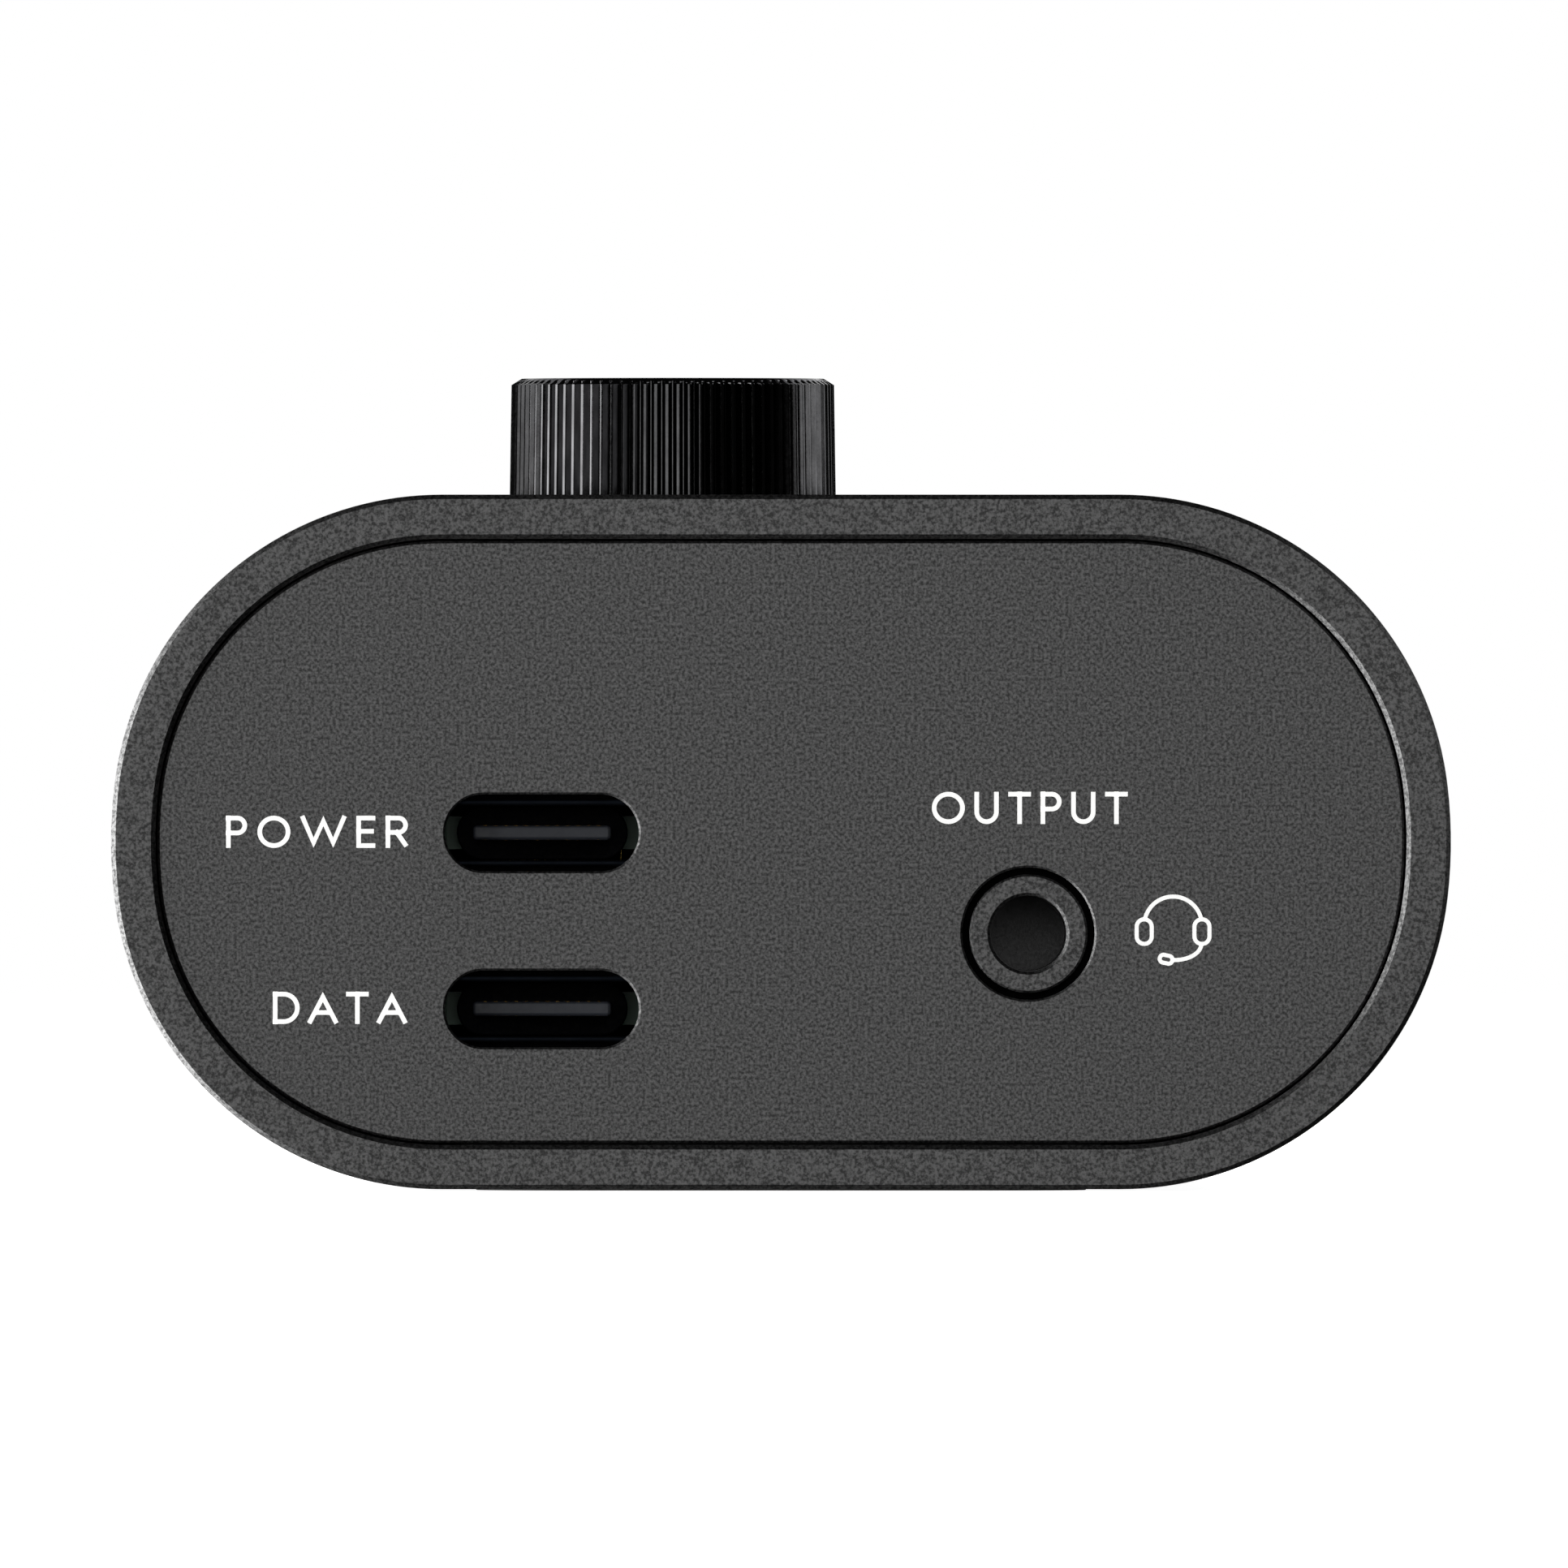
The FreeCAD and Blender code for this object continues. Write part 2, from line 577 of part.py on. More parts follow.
def board_header():
    """Socket on the lower board, plug under the upper one, and the pins that join them."""
    station = f"({FRONT} + header_back)"
    span = "(header_pitch * header_pins)"
    drop = f"({UPPER_UNDERSIDE} - {MAIN_TOP} - socket_rise)"
    frame = dict(x=f"({BOARD_HALF} - header_inset)", y=station)
    pairs = [(f"header_pitch * {row}", f"header_pitch * {step - (SIZES['header_pins'] - 1) / 2}")
             for step in range(SIZES["header_pins"]) for row in (-0.5, 0.5)]
    socket = new_body("board_socket", z=MAIN_TOP, **frame)
    pad(socket, "XY_Plane", "0", "socket_rise", block("0", "0", "header_pitch * 2", span))
    cut(socket, "XY_Plane", "socket_rise", "socket_rise * 0.8", *(circle(x, y, "pin_radius") for x, y in pairs))
    plug = new_body("board_plug", z=UPPER_UNDERSIDE, **frame)
    pad(plug, "XY_Plane", "0", drop, block("0", "0", "header_pitch * 2", span), backward=True)
    cut(plug, "XY_Plane", "0", drop, *(circle(x, y, "pin_radius") for x, y in pairs))
    pins = new_body("board_link_pins", z=UPPER_UNDERSIDE, **frame)
    pad(pins, "XY_Plane", "0", f"{drop} + socket_rise * 0.7",
        *(circle(x, y, "pin_radius * 0.9") for x, y in pairs), backward=True)


def chips():
    """Flat packages soldered on the boards, each placed by its distance back from the front end."""
    packages = (
        ("processor_chip", MAIN_TOP, "-15", 31, 8.0, 8.0, 0.9),
        ("converter_chip", MAIN_TOP, "4", 33, 6.0, 6.0, 0.9),
        ("preamp_chip", MAIN_TOP, "-16", 66, 4.0, 5.0, 1.5),
        ("clock_crystal", MAIN_TOP, "-5", 26, 3.2, 2.5, 0.8),
        ("headphone_amp_chip", MAIN_TOP, f"{BOARD_HALF} - 11", 27, 4.0, 4.0, 0.9),
    )
    for label, level, side, back, width, length, rise in packages:
        body = new_body(label, x=side, y=f"{FRONT} + {back}", z=level)
        pad(body, "XY_Plane", "0", str(rise), block("0", "0", str(width), str(length)))
        chamfered(body, "0.15", lambda edge, top=rise: lies_at(edge, "Z", top))


def board_capacitors():
    """Electrolytic cans in a row beside the input jack, each on a square foot."""
    body = new_body("board_capacitors", x=f"{BOARD_HALF} - 6", y=f"-{PLATE_BACK} - 33.75", z=MAIN_TOP)
    places = [("0", f"8 * {step}") for step in range(3)]
    pad(body, "XY_Plane", "0", "0.8", *(block(x, y, "6.6", "6.6") for x, y in places))
    pad(body, "XY_Plane", "0.8", "4.6", *(circle(x, y, "3.1") for x, y in places))


def small_passives():
    """Rows of small chip resistors and capacitors on the lower board."""
    body = new_body("small_passives", x=f"5 - {BOARD_HALF}", y=f"{FRONT} + 44", z=MAIN_TOP)
    first = pad(body, "XY_Plane", "0", "0.55", block("0", "0", "0.8", "1.6"), block("0", "3.2", "0.8", "1.6"))
    repeated(body, first, "H_Axis", "10", "6")


# --- ports ----------------------------------------------------------------------------------------

def port(name, rise):
    """A reversible port: drawn shell with solder legs, moulded tongue on a base, contacts both sides."""
    depth_back = "(port_depth - port_setback)"
    shell = new_body(f"{name}_port_shell", x="-port_side", y=PORT_MOUTH, z=rise)
    inner_width, inner_height = "(port_width - 2 * port_skin)", "(port_height - 2 * port_skin)"
    pad(shell, "XZ_Plane", "0", "port_depth", full_round_slot("0", "0", "port_width", "port_height"),
        full_round_slot("0", "0", inner_width, inner_height), backward=True)
    leg_low, leg_high = "(board_thickness / 2)", "(board_thickness / 2 + port_skin)"
    leg_root = "(port_width / 2 - port_skin * 1.5)"
    legs = [rectangle(leg_root, leg_low, "port_width / 2 + leg_reach", leg_high),
            rectangle("-port_width / 2 - leg_reach", leg_low, f"-{leg_root}", leg_high)]
    for back in ("leg_inset", "(leg_inset + leg_spacing)"):
        pad(shell, "XZ_Plane", f"{back} - port_depth", "leg_length", *legs)
    tongue = new_body(f"{name}_port_tongue", x="-port_side", y=PORT_MOUTH, z=rise)
    pad(tongue, "XZ_Plane", f"-{depth_back}", "port_base",
        full_round_slot("0", "0", f"({inner_width} - 0.04)", f"({inner_height} - 0.04)"))
    pad(tongue, "XZ_Plane", "-tongue_setback", f"{depth_back} - tongue_setback",
        block("0", "0", "tongue_width", "tongue_thickness"), backward=True)
    contacts = new_body(f"{name}_port_contacts", x="-port_side", y=PORT_MOUTH, z=rise)
    start = "(-contact_pitch * (contact_count - 1) / 2)"
    strips = [rectangle(f"{start} - contact_width / 2", low, f"{start} + contact_width / 2", high)
              for low, high in (("tongue_thickness / 2", "tongue_thickness / 2 + contact_thickness"),
                                ("-tongue_thickness / 2 - contact_thickness", "-tongue_thickness / 2"))]
    row_of = pad(contacts, "XZ_Plane", "-tongue_setback - 0.5",
                 f"{depth_back} - port_base - tongue_setback - 0.5", *strips, backward=True)
    repeated(contacts, row_of, "H_Axis", "contact_pitch * (contact_count - 1)", "contact_count")


# --- jacks ----------------------------------------------------------------------------------------

def jack(name, side, station, rise, turn, sizes, blades):
    """A jack on the main board: moulded body with a blind bore, plain collar in the plate, side blades."""
    bore, rim, depth, width = sizes
    below = f"({rise} - {MAIN_TOP})"
    frame = dict(x=side, y=station, z=rise, turn=turn)
    collar = new_body(f"{name}_jack_collar", **frame)
    pad(collar, "XZ_Plane", "0", "plate_thickness - jack_setback",
        circle("0", "0", f"{bore} + {rim}"), circle("0", "0", bore))
    face = -value("plate_thickness - jack_setback")
    chamfered(collar, "jack_break", lambda edge: lies_at(edge, "Y", face))
    body = new_body(f"{name}_jack_body", **frame)
    pad(body, "XZ_Plane", "0", depth, rectangle(f"-{width} / 2", f"-{below}", f"{width} / 2", below),
        backward=True)
    cut(body, "XZ_Plane", "0", f"{depth} - jack_end_wall", circle("0", "0", bore))
    blade = f"({bore} + running_gap)"
    inside, outside = f"({bore} * 0.85)", f"({blade} + blade_thickness + blade_clearance)"
    slots, strips = [], []
    for sign, place in blades:
        along = f"({depth} * {place})"
        ends = [inside, outside] if sign > 0 else [f"-{outside}", f"-{inside}"]
        slots.append(rectangle(ends[0], f"{along} - blade_width / 2 - blade_clearance",
                               ends[1], f"{along} + blade_width / 2 + blade_clearance"))
        ends = [blade, f"({blade} + blade_thickness)"]
        if sign < 0:
            ends = [f"-{ends[1]}", f"-{ends[0]}"]
        strips.append(rectangle(ends[0], f"{along} - blade_width / 2", ends[1], f"{along} + blade_width / 2"))
    cut(body, "XY_Plane", f"{bore} * 0.6", f"{bore} * 0.6 + {below}", *slots)
    contacts = new_body(f"{name}_jack_contacts", **frame)
    pad(contacts, "XY_Plane", f"-{below}", f"{below} + {bore} * 0.5", *strips)


def jacks():
    jack("output", "output_side", PLATE_BACK, "output_rise", 0,
         ("output_bore", "output_rim", "output_depth", "output_body_width"),
         ((1, 0.2), (-1, 0.35), (1, 0.5), (-1, 0.65), (1, 0.8)))
    jack("input", "0", f"-{PLATE_BACK}", MIDDLE, 180,
         ("input_bore", "input_rim", "input_depth", "input_body_width"),
         ((1, 0.25), (-1, 0.55), (1, 0.85)))


# --- encoder and knob -----------------------------------------------------------------------------

def encoder():
    """Push encoder: the shaft turns the rotor and slides through it to press the plunger."""
    frame = dict(x="knob_side", y=KNOB_STATION, z=UPPER_TOP)
    body = new_body("encoder_body", **frame)
    pad(body, "XY_Plane", "0", "encoder_rise", block("0", "0", "encoder_width", "encoder_length"))
    shelf = "(rotor_level - rotor_gap)"
    cut(body, "XY_Plane", "encoder_rise", f"encoder_rise - {shelf}",
        circle("0", "0", "rotor_radius + rotor_gap"))
    cut(body, "XY_Plane", shelf, f"{shelf} - encoder_floor", circle("0", "0", "dome_radius + rotor_gap"))

    dome = new_body("switch_dome", **frame)
    rim, low, skin = "dome_radius", "encoder_floor", "dome_skin"
    crown = f"({low} + dome_rise)"
    turned(dome, "XZ_Plane", outline(
        ("0", f"{crown} - {skin}"), (f"{rim} * 0.4", f"{crown} - {skin}"), (f"{rim} - {skin}", low),
        (rim, low), (f"{rim} * 0.4 + {skin}", crown), ("0", crown)))

    plunger = new_body("switch_plunger", **frame)
    pad(plunger, "XY_Plane", f"{PLUNGER_TOP} - plunger_thickness", "plunger_thickness",
        circle("0", "0", "plunger_radius"))

    rotor = new_body("encoder_rotor", **frame)
    pad(rotor, "XY_Plane", "rotor_level", "rotor_thickness", circle("0", "0", "rotor_radius"))
    cut(rotor, "XY_Plane", "rotor_level + rotor_thickness", "rotor_thickness",
        flatted_circle("(stub_radius + running_gap)", "(stub_flat + running_gap)"))

    cover = new_body("encoder_cover", **frame)
    pad(cover, "XY_Plane", "encoder_rise", "cover_thickness",
        block("0", "0", "(encoder_width + 2 * claw_thickness)", "encoder_length"))
    pad(cover, "XY_Plane", "encoder_rise", f"{BUSHING_TOP} - encoder_rise", circle("0", "0", "bushing_radius"))
    pad(cover, "XY_Plane", "0", "encoder_rise",
        *(block(f"{sign}(encoder_width + claw_thickness) / 2", "0", "claw_thickness", "encoder_length * 0.25")
          for sign in ("-", "")))
    cut(cover, "XY_Plane", BUSHING_TOP, f"{BUSHING_TOP} - encoder_rise",
        circle("0", "0", "shaft_radius + running_gap"))

    pins = new_body("encoder_pins", **frame)
    pad(pins, "XY_Plane", "0", "board_thickness + 0.8", *(circle(x, y, "pin_radius") for x, y in ENCODER_PINS),
        backward=True)

    shaft = new_body("encoder_shaft", **frame)
    stub_low = f"({PLUNGER_TOP} + running_gap)"
    pad(shaft, "XY_Plane", stub_low, f"{SHAFT_STEP} - {stub_low}", flatted_circle("stub_radius", "stub_flat"))
    flat_low = f"({BUSHING_TOP} + press_travel)"
    pad(shaft, "XY_Plane", SHAFT_STEP, f"{flat_low} - {SHAFT_STEP}", circle("0", "0", "shaft_radius"))
    pad(shaft, "XY_Plane", flat_low, f"{SHAFT_TOP} - {flat_low}", flatted_circle("shaft_radius", "shaft_flat"))


def volume_knob():
    """Turned knob, hollow round a bored boss, its side cut with straight V grooves of a fixed count."""
    body = new_body("volume_knob", x="knob_side", y=KNOB_STATION, z=TOP)
    turned(body, "XZ_Plane", outline(
        ("0", "-knob_sink"), ("knob_radius", "-knob_sink"), ("knob_radius", "knob_rise - knob_break_drop"),
        ("knob_radius - knob_break", "knob_rise"), ("0", "knob_rise")))
    cut(body, "XY_Plane", "-knob_sink", "knob_sink + knob_rise - knob_roof",
        circle("0", "0", "knob_radius - knob_wall"), circle("0", "0", "knob_boss"), forward=True)
    cut(body, "XY_Plane", "-knob_sink", "knob_rise - shaft_cover + knob_sink + running_gap",
        flatted_circle("(shaft_radius + running_gap / 2)", "(shaft_flat + running_gap / 2)"), forward=True)
    half_floor = "(groove_floor / 2)"
    half_mouth = "(knob_radius * 3.14159 / ridge_count - ridge_crest / 2)"
    root, lip = "(knob_radius - ridge_depth)", "(knob_radius + 0.1)"
    flare = f"({half_mouth} + ({half_mouth} - {half_floor}) * 0.1 / ridge_depth)"
    groove = cut(body, "XY_Plane", "-knob_sink - 0.1", "knob_sink + knob_rise + 0.2",
                 outline((root, f"-{half_floor}"), (lip, f"-{flare}"), (lip, flare), (root, half_floor)),
                 forward=True)
    ring = body.newObject("PartDesign::PolarPattern", "knob_grooves")
    ring.Originals = [groove]
    ring.Axis = (groove.Profile[0], ["N_Axis"])
    ring.Angle = 360
    bind(ring, "Occurrences", "ridge_count")
    body.Tip = ring


# --- indicator lamps ------------------------------------------------------------------------------

def indicator_lamps():
    """Light pipes from lamps on the upper board to flush ends in the tube's top, in a slim holder."""
    level = UPPER_TOP
    holder = new_body("light_pipe_holder", z=level)
    rise = f"({TOP} - wall - lamp_holder_gap - {level})"
    pad(holder, "XY_Plane", "0", rise, block("lamp_side", KNOB_STATION, "4.4", "lamp_pitch * 3"))
    cut(holder, "XY_Plane", rise, rise,
        *(circle(x, y, "lamp_radius + lamp_gap") for x, y in LAMPS))
    cut(holder, "XY_Plane", "0", "led_rise + 0.3", *(circle(x, y, "lamp_radius * 1.7") for x, y in LAMPS),
        forward=True)
    pipes = new_body("indicator_light_pipes", z=f"{level} + led_rise + 0.3")
    pad(pipes, "XY_Plane", "0", f"{TOP} - {level} - led_rise - 0.3",
        *(circle(x, y, "lamp_radius") for x, y in LAMPS))
    lamps = new_body("indicator_leds", z=level)
    pad(lamps, "XY_Plane", "0", "led_rise", *(block(x, y, "1.6", "1.2") for x, y in LAMPS))


# --- build, check and write -----------------------------------------------------------------------

def check_and_write():
    doc.recompute()
    for thing in doc.Objects:
        if {"Invalid", "Error"} & set(thing.State):
            raise ValueError(f"{thing.Label} did not recompute: {thing.State}")
        if thing.TypeId in ("PartDesign::Pocket", "PartDesign::Groove", "PartDesign::Hole"):
            if thing.Shape.Volume > thing.BaseFeature.Shape.Volume - 1e-4:
                raise ValueError(f"{thing.Label} cuts nothing")
    os.makedirs("parts", exist_ok=True)
    for part in sub_parts:
        if part.Shape.isNull() or not part.Shape.isValid():
            raise ValueError(f"{part.Label} has no valid shape")
    for part in sub_parts:
        part.Shape.exportStep(f"parts/{part.Label}.step")


housing_shell()
connector_end_plate()
input_end_plate()
base_pad()
base_screws()
inner_carrier()
boards()
board_standoffs()
board_screws("control_board_screws", UPPER_TOP, STANDOFFS)
board_screws("main_board_screws", MAIN_TOP, REAR_POSTS)
board_header()
chips()
board_capacitors()
small_passives()
port("data", "data_port_rise")
port("power", "data_port_rise + port_spacing")
jacks()
encoder()
volume_knob()
indicator_lamps()
check_and_write()
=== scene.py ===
import json
import math

import bmesh
import bpy
import numpy as np
from bpy.props import FloatProperty, FloatVectorProperty, PointerProperty
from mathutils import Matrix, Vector
from mathutils.geometry import tessellate_polygon


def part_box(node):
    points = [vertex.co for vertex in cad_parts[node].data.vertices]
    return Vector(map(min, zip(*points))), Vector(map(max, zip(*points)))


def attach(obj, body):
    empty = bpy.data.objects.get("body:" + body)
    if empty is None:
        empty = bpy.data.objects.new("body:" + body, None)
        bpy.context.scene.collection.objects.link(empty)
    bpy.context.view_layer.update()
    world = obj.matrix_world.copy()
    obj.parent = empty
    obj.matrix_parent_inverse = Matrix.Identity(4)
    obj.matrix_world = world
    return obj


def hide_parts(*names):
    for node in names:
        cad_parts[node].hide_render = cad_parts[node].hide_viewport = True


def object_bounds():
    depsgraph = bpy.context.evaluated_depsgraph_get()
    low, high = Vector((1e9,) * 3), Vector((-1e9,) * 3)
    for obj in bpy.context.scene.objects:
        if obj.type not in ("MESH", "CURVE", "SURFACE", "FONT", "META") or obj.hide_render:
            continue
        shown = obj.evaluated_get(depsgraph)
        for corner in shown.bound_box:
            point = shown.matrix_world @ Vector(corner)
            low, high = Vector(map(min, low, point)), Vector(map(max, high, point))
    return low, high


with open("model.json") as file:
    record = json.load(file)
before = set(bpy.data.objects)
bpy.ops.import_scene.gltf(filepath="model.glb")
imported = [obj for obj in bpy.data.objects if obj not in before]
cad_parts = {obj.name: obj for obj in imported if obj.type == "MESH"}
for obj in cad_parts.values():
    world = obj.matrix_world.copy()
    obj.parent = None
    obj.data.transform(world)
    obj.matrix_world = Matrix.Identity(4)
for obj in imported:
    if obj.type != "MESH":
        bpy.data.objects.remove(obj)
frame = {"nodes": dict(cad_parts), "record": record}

bl_info = {
    "name": "Desktop audio interface",
    "version": (1, 0, 0),
    "blender": (4, 5, 0),
    "location": "View3D > Sidebar > Audio interface",
    "description": "Builds the visible pieces, finishes and studio of a compact audio interface",
    "category": "Object",
}

MM = 0.001
CAD_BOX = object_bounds()
SHELL_LOW, SHELL_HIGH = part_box("housing_shell")
KNOB_LOW, KNOB_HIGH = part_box("volume_knob")
PLATE_BACK = SHELL_LOW.y + 2.25 * MM
KNOB_HOLE_ROOM = 0.35 * MM  # between the knob and its hole in the tube
JACK_HOLE_ROOM = 0.34 * MM  # between a jack's collar and its hole in the plate
WINDOW_ROOM = 0.47 * MM  # across a port's window, both sides together
PORT_WIDTH, PORT_RISE = 8.94 * MM, 3.26 * MM  # outside of a reversible port's shell
PLATE_THICKNESS = 2 * MM
KNOB_RIDGES = 90
FLANK_HALF = 0.86 * MM
FLANK_ANGLE = math.radians(6.75)


def middle(low, high):
    """The point halfway between two corners."""
    return (low + high) / 2


# --- sizes and colours a user would change ----------------------------------------------------------

def length(name, default, description):
    """A length, written here in millimetres and kept in metres."""
    return FloatProperty(name=name, default=default * MM, description=description, min=0.0, precision=5,
                         unit="LENGTH")


def power(name, default, description, unit="POWER"):
    """A light's power in watts, or with no unit the even light's strength."""
    return FloatProperty(name=name, default=default, description=description, min=0.0, unit=unit)


def colour(name, sheet, description):
    """A colour given as sRGB hex, kept as the linear values that the shaders take."""
    return FloatVectorProperty(name=name, default=linear(sheet), description=description, size=3,
                               subtype="COLOR", min=0.0, max=1.0)


def linear(sheet):
    """sRGB hex to linear: the low end is a straight line, the rest a power of 2.4."""
    channels = np.array([int(sheet[i:i + 2], 16) for i in (1, 3, 5)]) / 255
    return tuple(np.where(channels <= 0.04045, channels / 12.92, ((channels + 0.055) / 1.055) ** 2.4))


class HousingSizes(bpy.types.PropertyGroup):
    mouth_break: length("Mouth break", 0.22, "Broken edge round both mouths of the tube")
    wall: length("Wall", 2.15, "Wall of the tube")
    plate_gap: length("Plate gap", 0.1, "Gap between a plate and the tube")
    plate_break: length("Plate break", 0.12, "Broken edge round a plate's face")
    window_break: length("Window break", 0.1, "Broken edge round a port's window")
    hole_break: length("Hole break", 0.15, "Broken edge round the knob's hole")
    metal: colour("Anodised metal", "#5d5d5d", "Dark grey of the tube and plates")


class KnobSizes(bpy.types.PropertyGroup):
    ridge_depth: length("Ridge depth", 0.36, "Depth of the straight knurl")
    ridge_crest: length("Ridge crest", 0.14, "Flat width on top of a ridge")
    groove_floor: length("Groove floor", 0.04, "Flat width at the bottom of a groove")
    draft: length("Draft", 0.1, "How much the crests lean in towards the top")
    edge_break: length("Edge break", 0.5, "Width of the top edge's bevel")
    edge_drop: length("Edge drop", 0.31, "Height of the top edge's bevel")
    finish: colour("Knob black", "#464647", "Black of the knob")


class LabelSizes(bpy.types.PropertyGroup):
    cap_rise: length("Cap height", 1.56, "Height of the labels' capitals")
    stroke: length("Stroke", 0.225, "Width of a printed stroke")
    ink_rise: length("Ink thickness", 0.012, "Thickness of the printed ink")
    ink: colour("Label ink", "#f4f4f2", "White of the printed labels")


class StudioSizes(bpy.types.PropertyGroup):
    view_width: length("View width", 76.06, "Width that the camera takes in at the plate")
    camera_back: length("Camera distance", 3200.0, "Camera's distance in front of the plate")
    left_power: power("Left panel", 22.0, "Power of the large panel at the left")
    front_power: power("Front panel", 5.8, "Power of the dim panel by the camera")
    right_power: power("Right panel", 4.0, "Power of the panel at the right, towards the back")
    back_power: power("Back panel", 5.0, "Power of the panel behind and to the right")
    top_power: power("Top panel", 4.0, "Power of the panel above and behind")
    room: power("Room light", 0.018, "Strength of the even light from all round", unit="NONE")


def sizes(group):
    return getattr(bpy.context.scene, "audio_interface_" + group)


# --- loops ------------------------------------------------------------------------------------------
# A loop is an (n, 2) array of points going anticlockwise. A loop maker takes a growth, outwards
# positive, and gives the same number of points for any growth, so that two of its loops can be joined.

def arc(centre, radius, start, finish, count):
    """Points on a circle's arc from start to finish, in radians."""
    turn = np.linspace(start, finish, count)
    return np.stack([centre[0] + radius * np.cos(turn), centre[1] + radius * np.sin(turn)], 1)


def pill_loop(grow=0.0, corner=44, flank=8):
    """The tube's section: for each corner an arc of radius r, and down each flank a flatter arc of
    radius r + f / sin(a) round a centre on the middle line, where f is half the flank's rise between the
    corner arcs' centres and a the angle at which the two arcs meet."""
    half_width = (SHELL_HIGH.x - SHELL_LOW.x) / 2
    half_height = (SHELL_HIGH.z - SHELL_LOW.z) / 2
    full = half_height - FLANK_HALF
    radius = full + grow
    centre = half_width - full - FLANK_HALF * math.tan(FLANK_ANGLE / 2)
    flank_centre = centre - FLANK_HALF / math.tan(FLANK_ANGLE)
    flank_radius = radius + FLANK_HALF / math.sin(FLANK_ANGLE)
    right = [arc((flank_centre, 0), flank_radius, -FLANK_ANGLE, FLANK_ANGLE, flank)[:-1],
             arc((centre, FLANK_HALF), radius, FLANK_ANGLE, math.pi / 2, corner)]
    left = [arc((-centre, FLANK_HALF), radius, math.pi / 2, math.pi - FLANK_ANGLE, corner)[:-1],
            arc((-flank_centre, 0), flank_radius, math.pi - FLANK_ANGLE, math.pi + FLANK_ANGLE, flank)[:-1],
            arc((-centre, -FLANK_HALF), radius, math.pi + FLANK_ANGLE, 1.5 * math.pi, corner)]
    last = [arc((centre, -FLANK_HALF), radius, 1.5 * math.pi, 2 * math.pi - FLANK_ANGLE, corner)[:-1]]
    loop = np.concatenate(right + left + last)
    loop[:, 1] += (SHELL_HIGH.z + SHELL_LOW.z) / 2
    return loop


def circle_loop(x, y, radius, count=64):
    def loop(grow=0.0):
        return arc((x, y), radius + grow, 0, 2 * math.pi, count + 1)[:-1]
    return loop


def slot_loop(x, y, width, height, count=28):
    """Two half circles joined by straight lines."""
    def loop(grow=0.0):
        radius, reach = height / 2 + grow, (width - height) / 2
        return np.concatenate([arc((x + reach, y), radius, -math.pi / 2, math.pi / 2, count),
                               arc((x - reach, y), radius, math.pi / 2, 1.5 * math.pi, count)])
    return loop


def block_loop(x, y, width, height, corner, count=10):
    """A rectangle with round corners."""
    def loop(grow=0.0):
        radius = corner + grow
        reach_x, reach_y = width / 2 - corner, height / 2 - corner
        return np.concatenate([
            arc((x + sign_x * reach_x, y + sign_y * reach_y), radius, start, start + math.pi / 2, count)
            for sign_x, sign_y, start in ((1, -1, -math.pi / 2), (1, 1, 0), (-1, 1, math.pi / 2), (-1, -1, math.pi))])
    return loop


# --- meshes -----------------------------------------------------------------------------------------

def facing_y(points, level):
    """A loop drawn in X and Z, set at a place along Y."""
    return np.stack([points[:, 0], np.full(len(points), level), points[:, 1]], 1)


def facing_z(points, level):
    """A loop drawn in X and Y, set at a height."""
    return np.column_stack([points, np.full(len(points), level)])


class Surface:
    """Gathers vertices and faces of one piece, as whole arrays, and makes the closed mesh. A face whose
    level is 1 is part of a flat, and is shaded flat so that its long triangles don't show."""

    def __init__(self):
        self.points, self.faces, self.level, self.count = [], [], [], 0

    def add(self, points):
        first = self.count
        self.points.append(points)
        self.count += len(points)
        return first

    def strip(self, rings, skip=(), level=0):
        """Joins closed rings of equal length, in order, with quads. skip lists segments left open."""
        rings = np.asarray(rings)
        number, around = rings.shape[:2]
        first = self.add(rings.reshape(-1, 3))
        row, column = np.meshgrid(np.arange(number - 1), np.setdiff1d(np.arange(around), skip), indexing="ij")
        here, following = row * around + column, row * around + (column + 1) % around
        quads = np.stack([here, following, following + around, here + around], -1).reshape(-1, 4) + first
        self.faces += quads.tolist()
        self.level += [level] * len(quads)
        return self

    def fill(self, *loops):
        """A flat face inside the first loop and outside the others, as triangles."""
        first = self.add(np.concatenate(loops))
        found = tessellate_polygon([[Vector(point) for point in loop] for loop in loops])
        self.faces += [[index + first for index in triangle] for triangle in found]
        self.level += [1] * len(found)
        return self

    def piece(self, name, slot, body="enclosure", smooth=32, replaces=(), finish=None):
        """The finished object: doubles merged, faces turned outwards, edges sharper than smooth kept. It
        takes its slot's finish unless another is named."""
        mesh = bpy.data.meshes.new(name)
        mesh.from_pydata(np.concatenate(self.points).tolist(), [], self.faces)
        mesh.polygons.foreach_set("use_smooth", np.array(self.level) == 0)
        work = bmesh.new()
        work.from_mesh(mesh)
        bmesh.ops.remove_doubles(work, verts=work.verts, dist=1e-7)
        bmesh.ops.dissolve_degenerate(work, edges=work.edges, dist=1e-8)
        bmesh.ops.recalc_face_normals(work, faces=work.faces)
        rounded = [face.smooth for face in work.faces]
        work.to_mesh(mesh)
        work.free()
        mesh.set_sharp_from_angle(angle=math.radians(smooth))
        mesh.polygons.foreach_set("use_smooth", rounded)
        made = bpy.data.objects.new(name, mesh)
        bpy.context.scene.collection.objects.link(made)
        mesh.materials.append(finish_of(finish or slot))
        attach(made, body)
        if replaces:
            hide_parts(*replaces)
        return made


def rounded_edge(size, steps=4):
    """Offsets (growth, drop) of a rounded edge from the face round to the side: a quarter circle."""
    turn = np.linspace(0, math.pi / 2, steps + 1)
    return [(-size * (1 - math.sin(angle)), size * (1 - math.cos(angle))) for angle in turn]


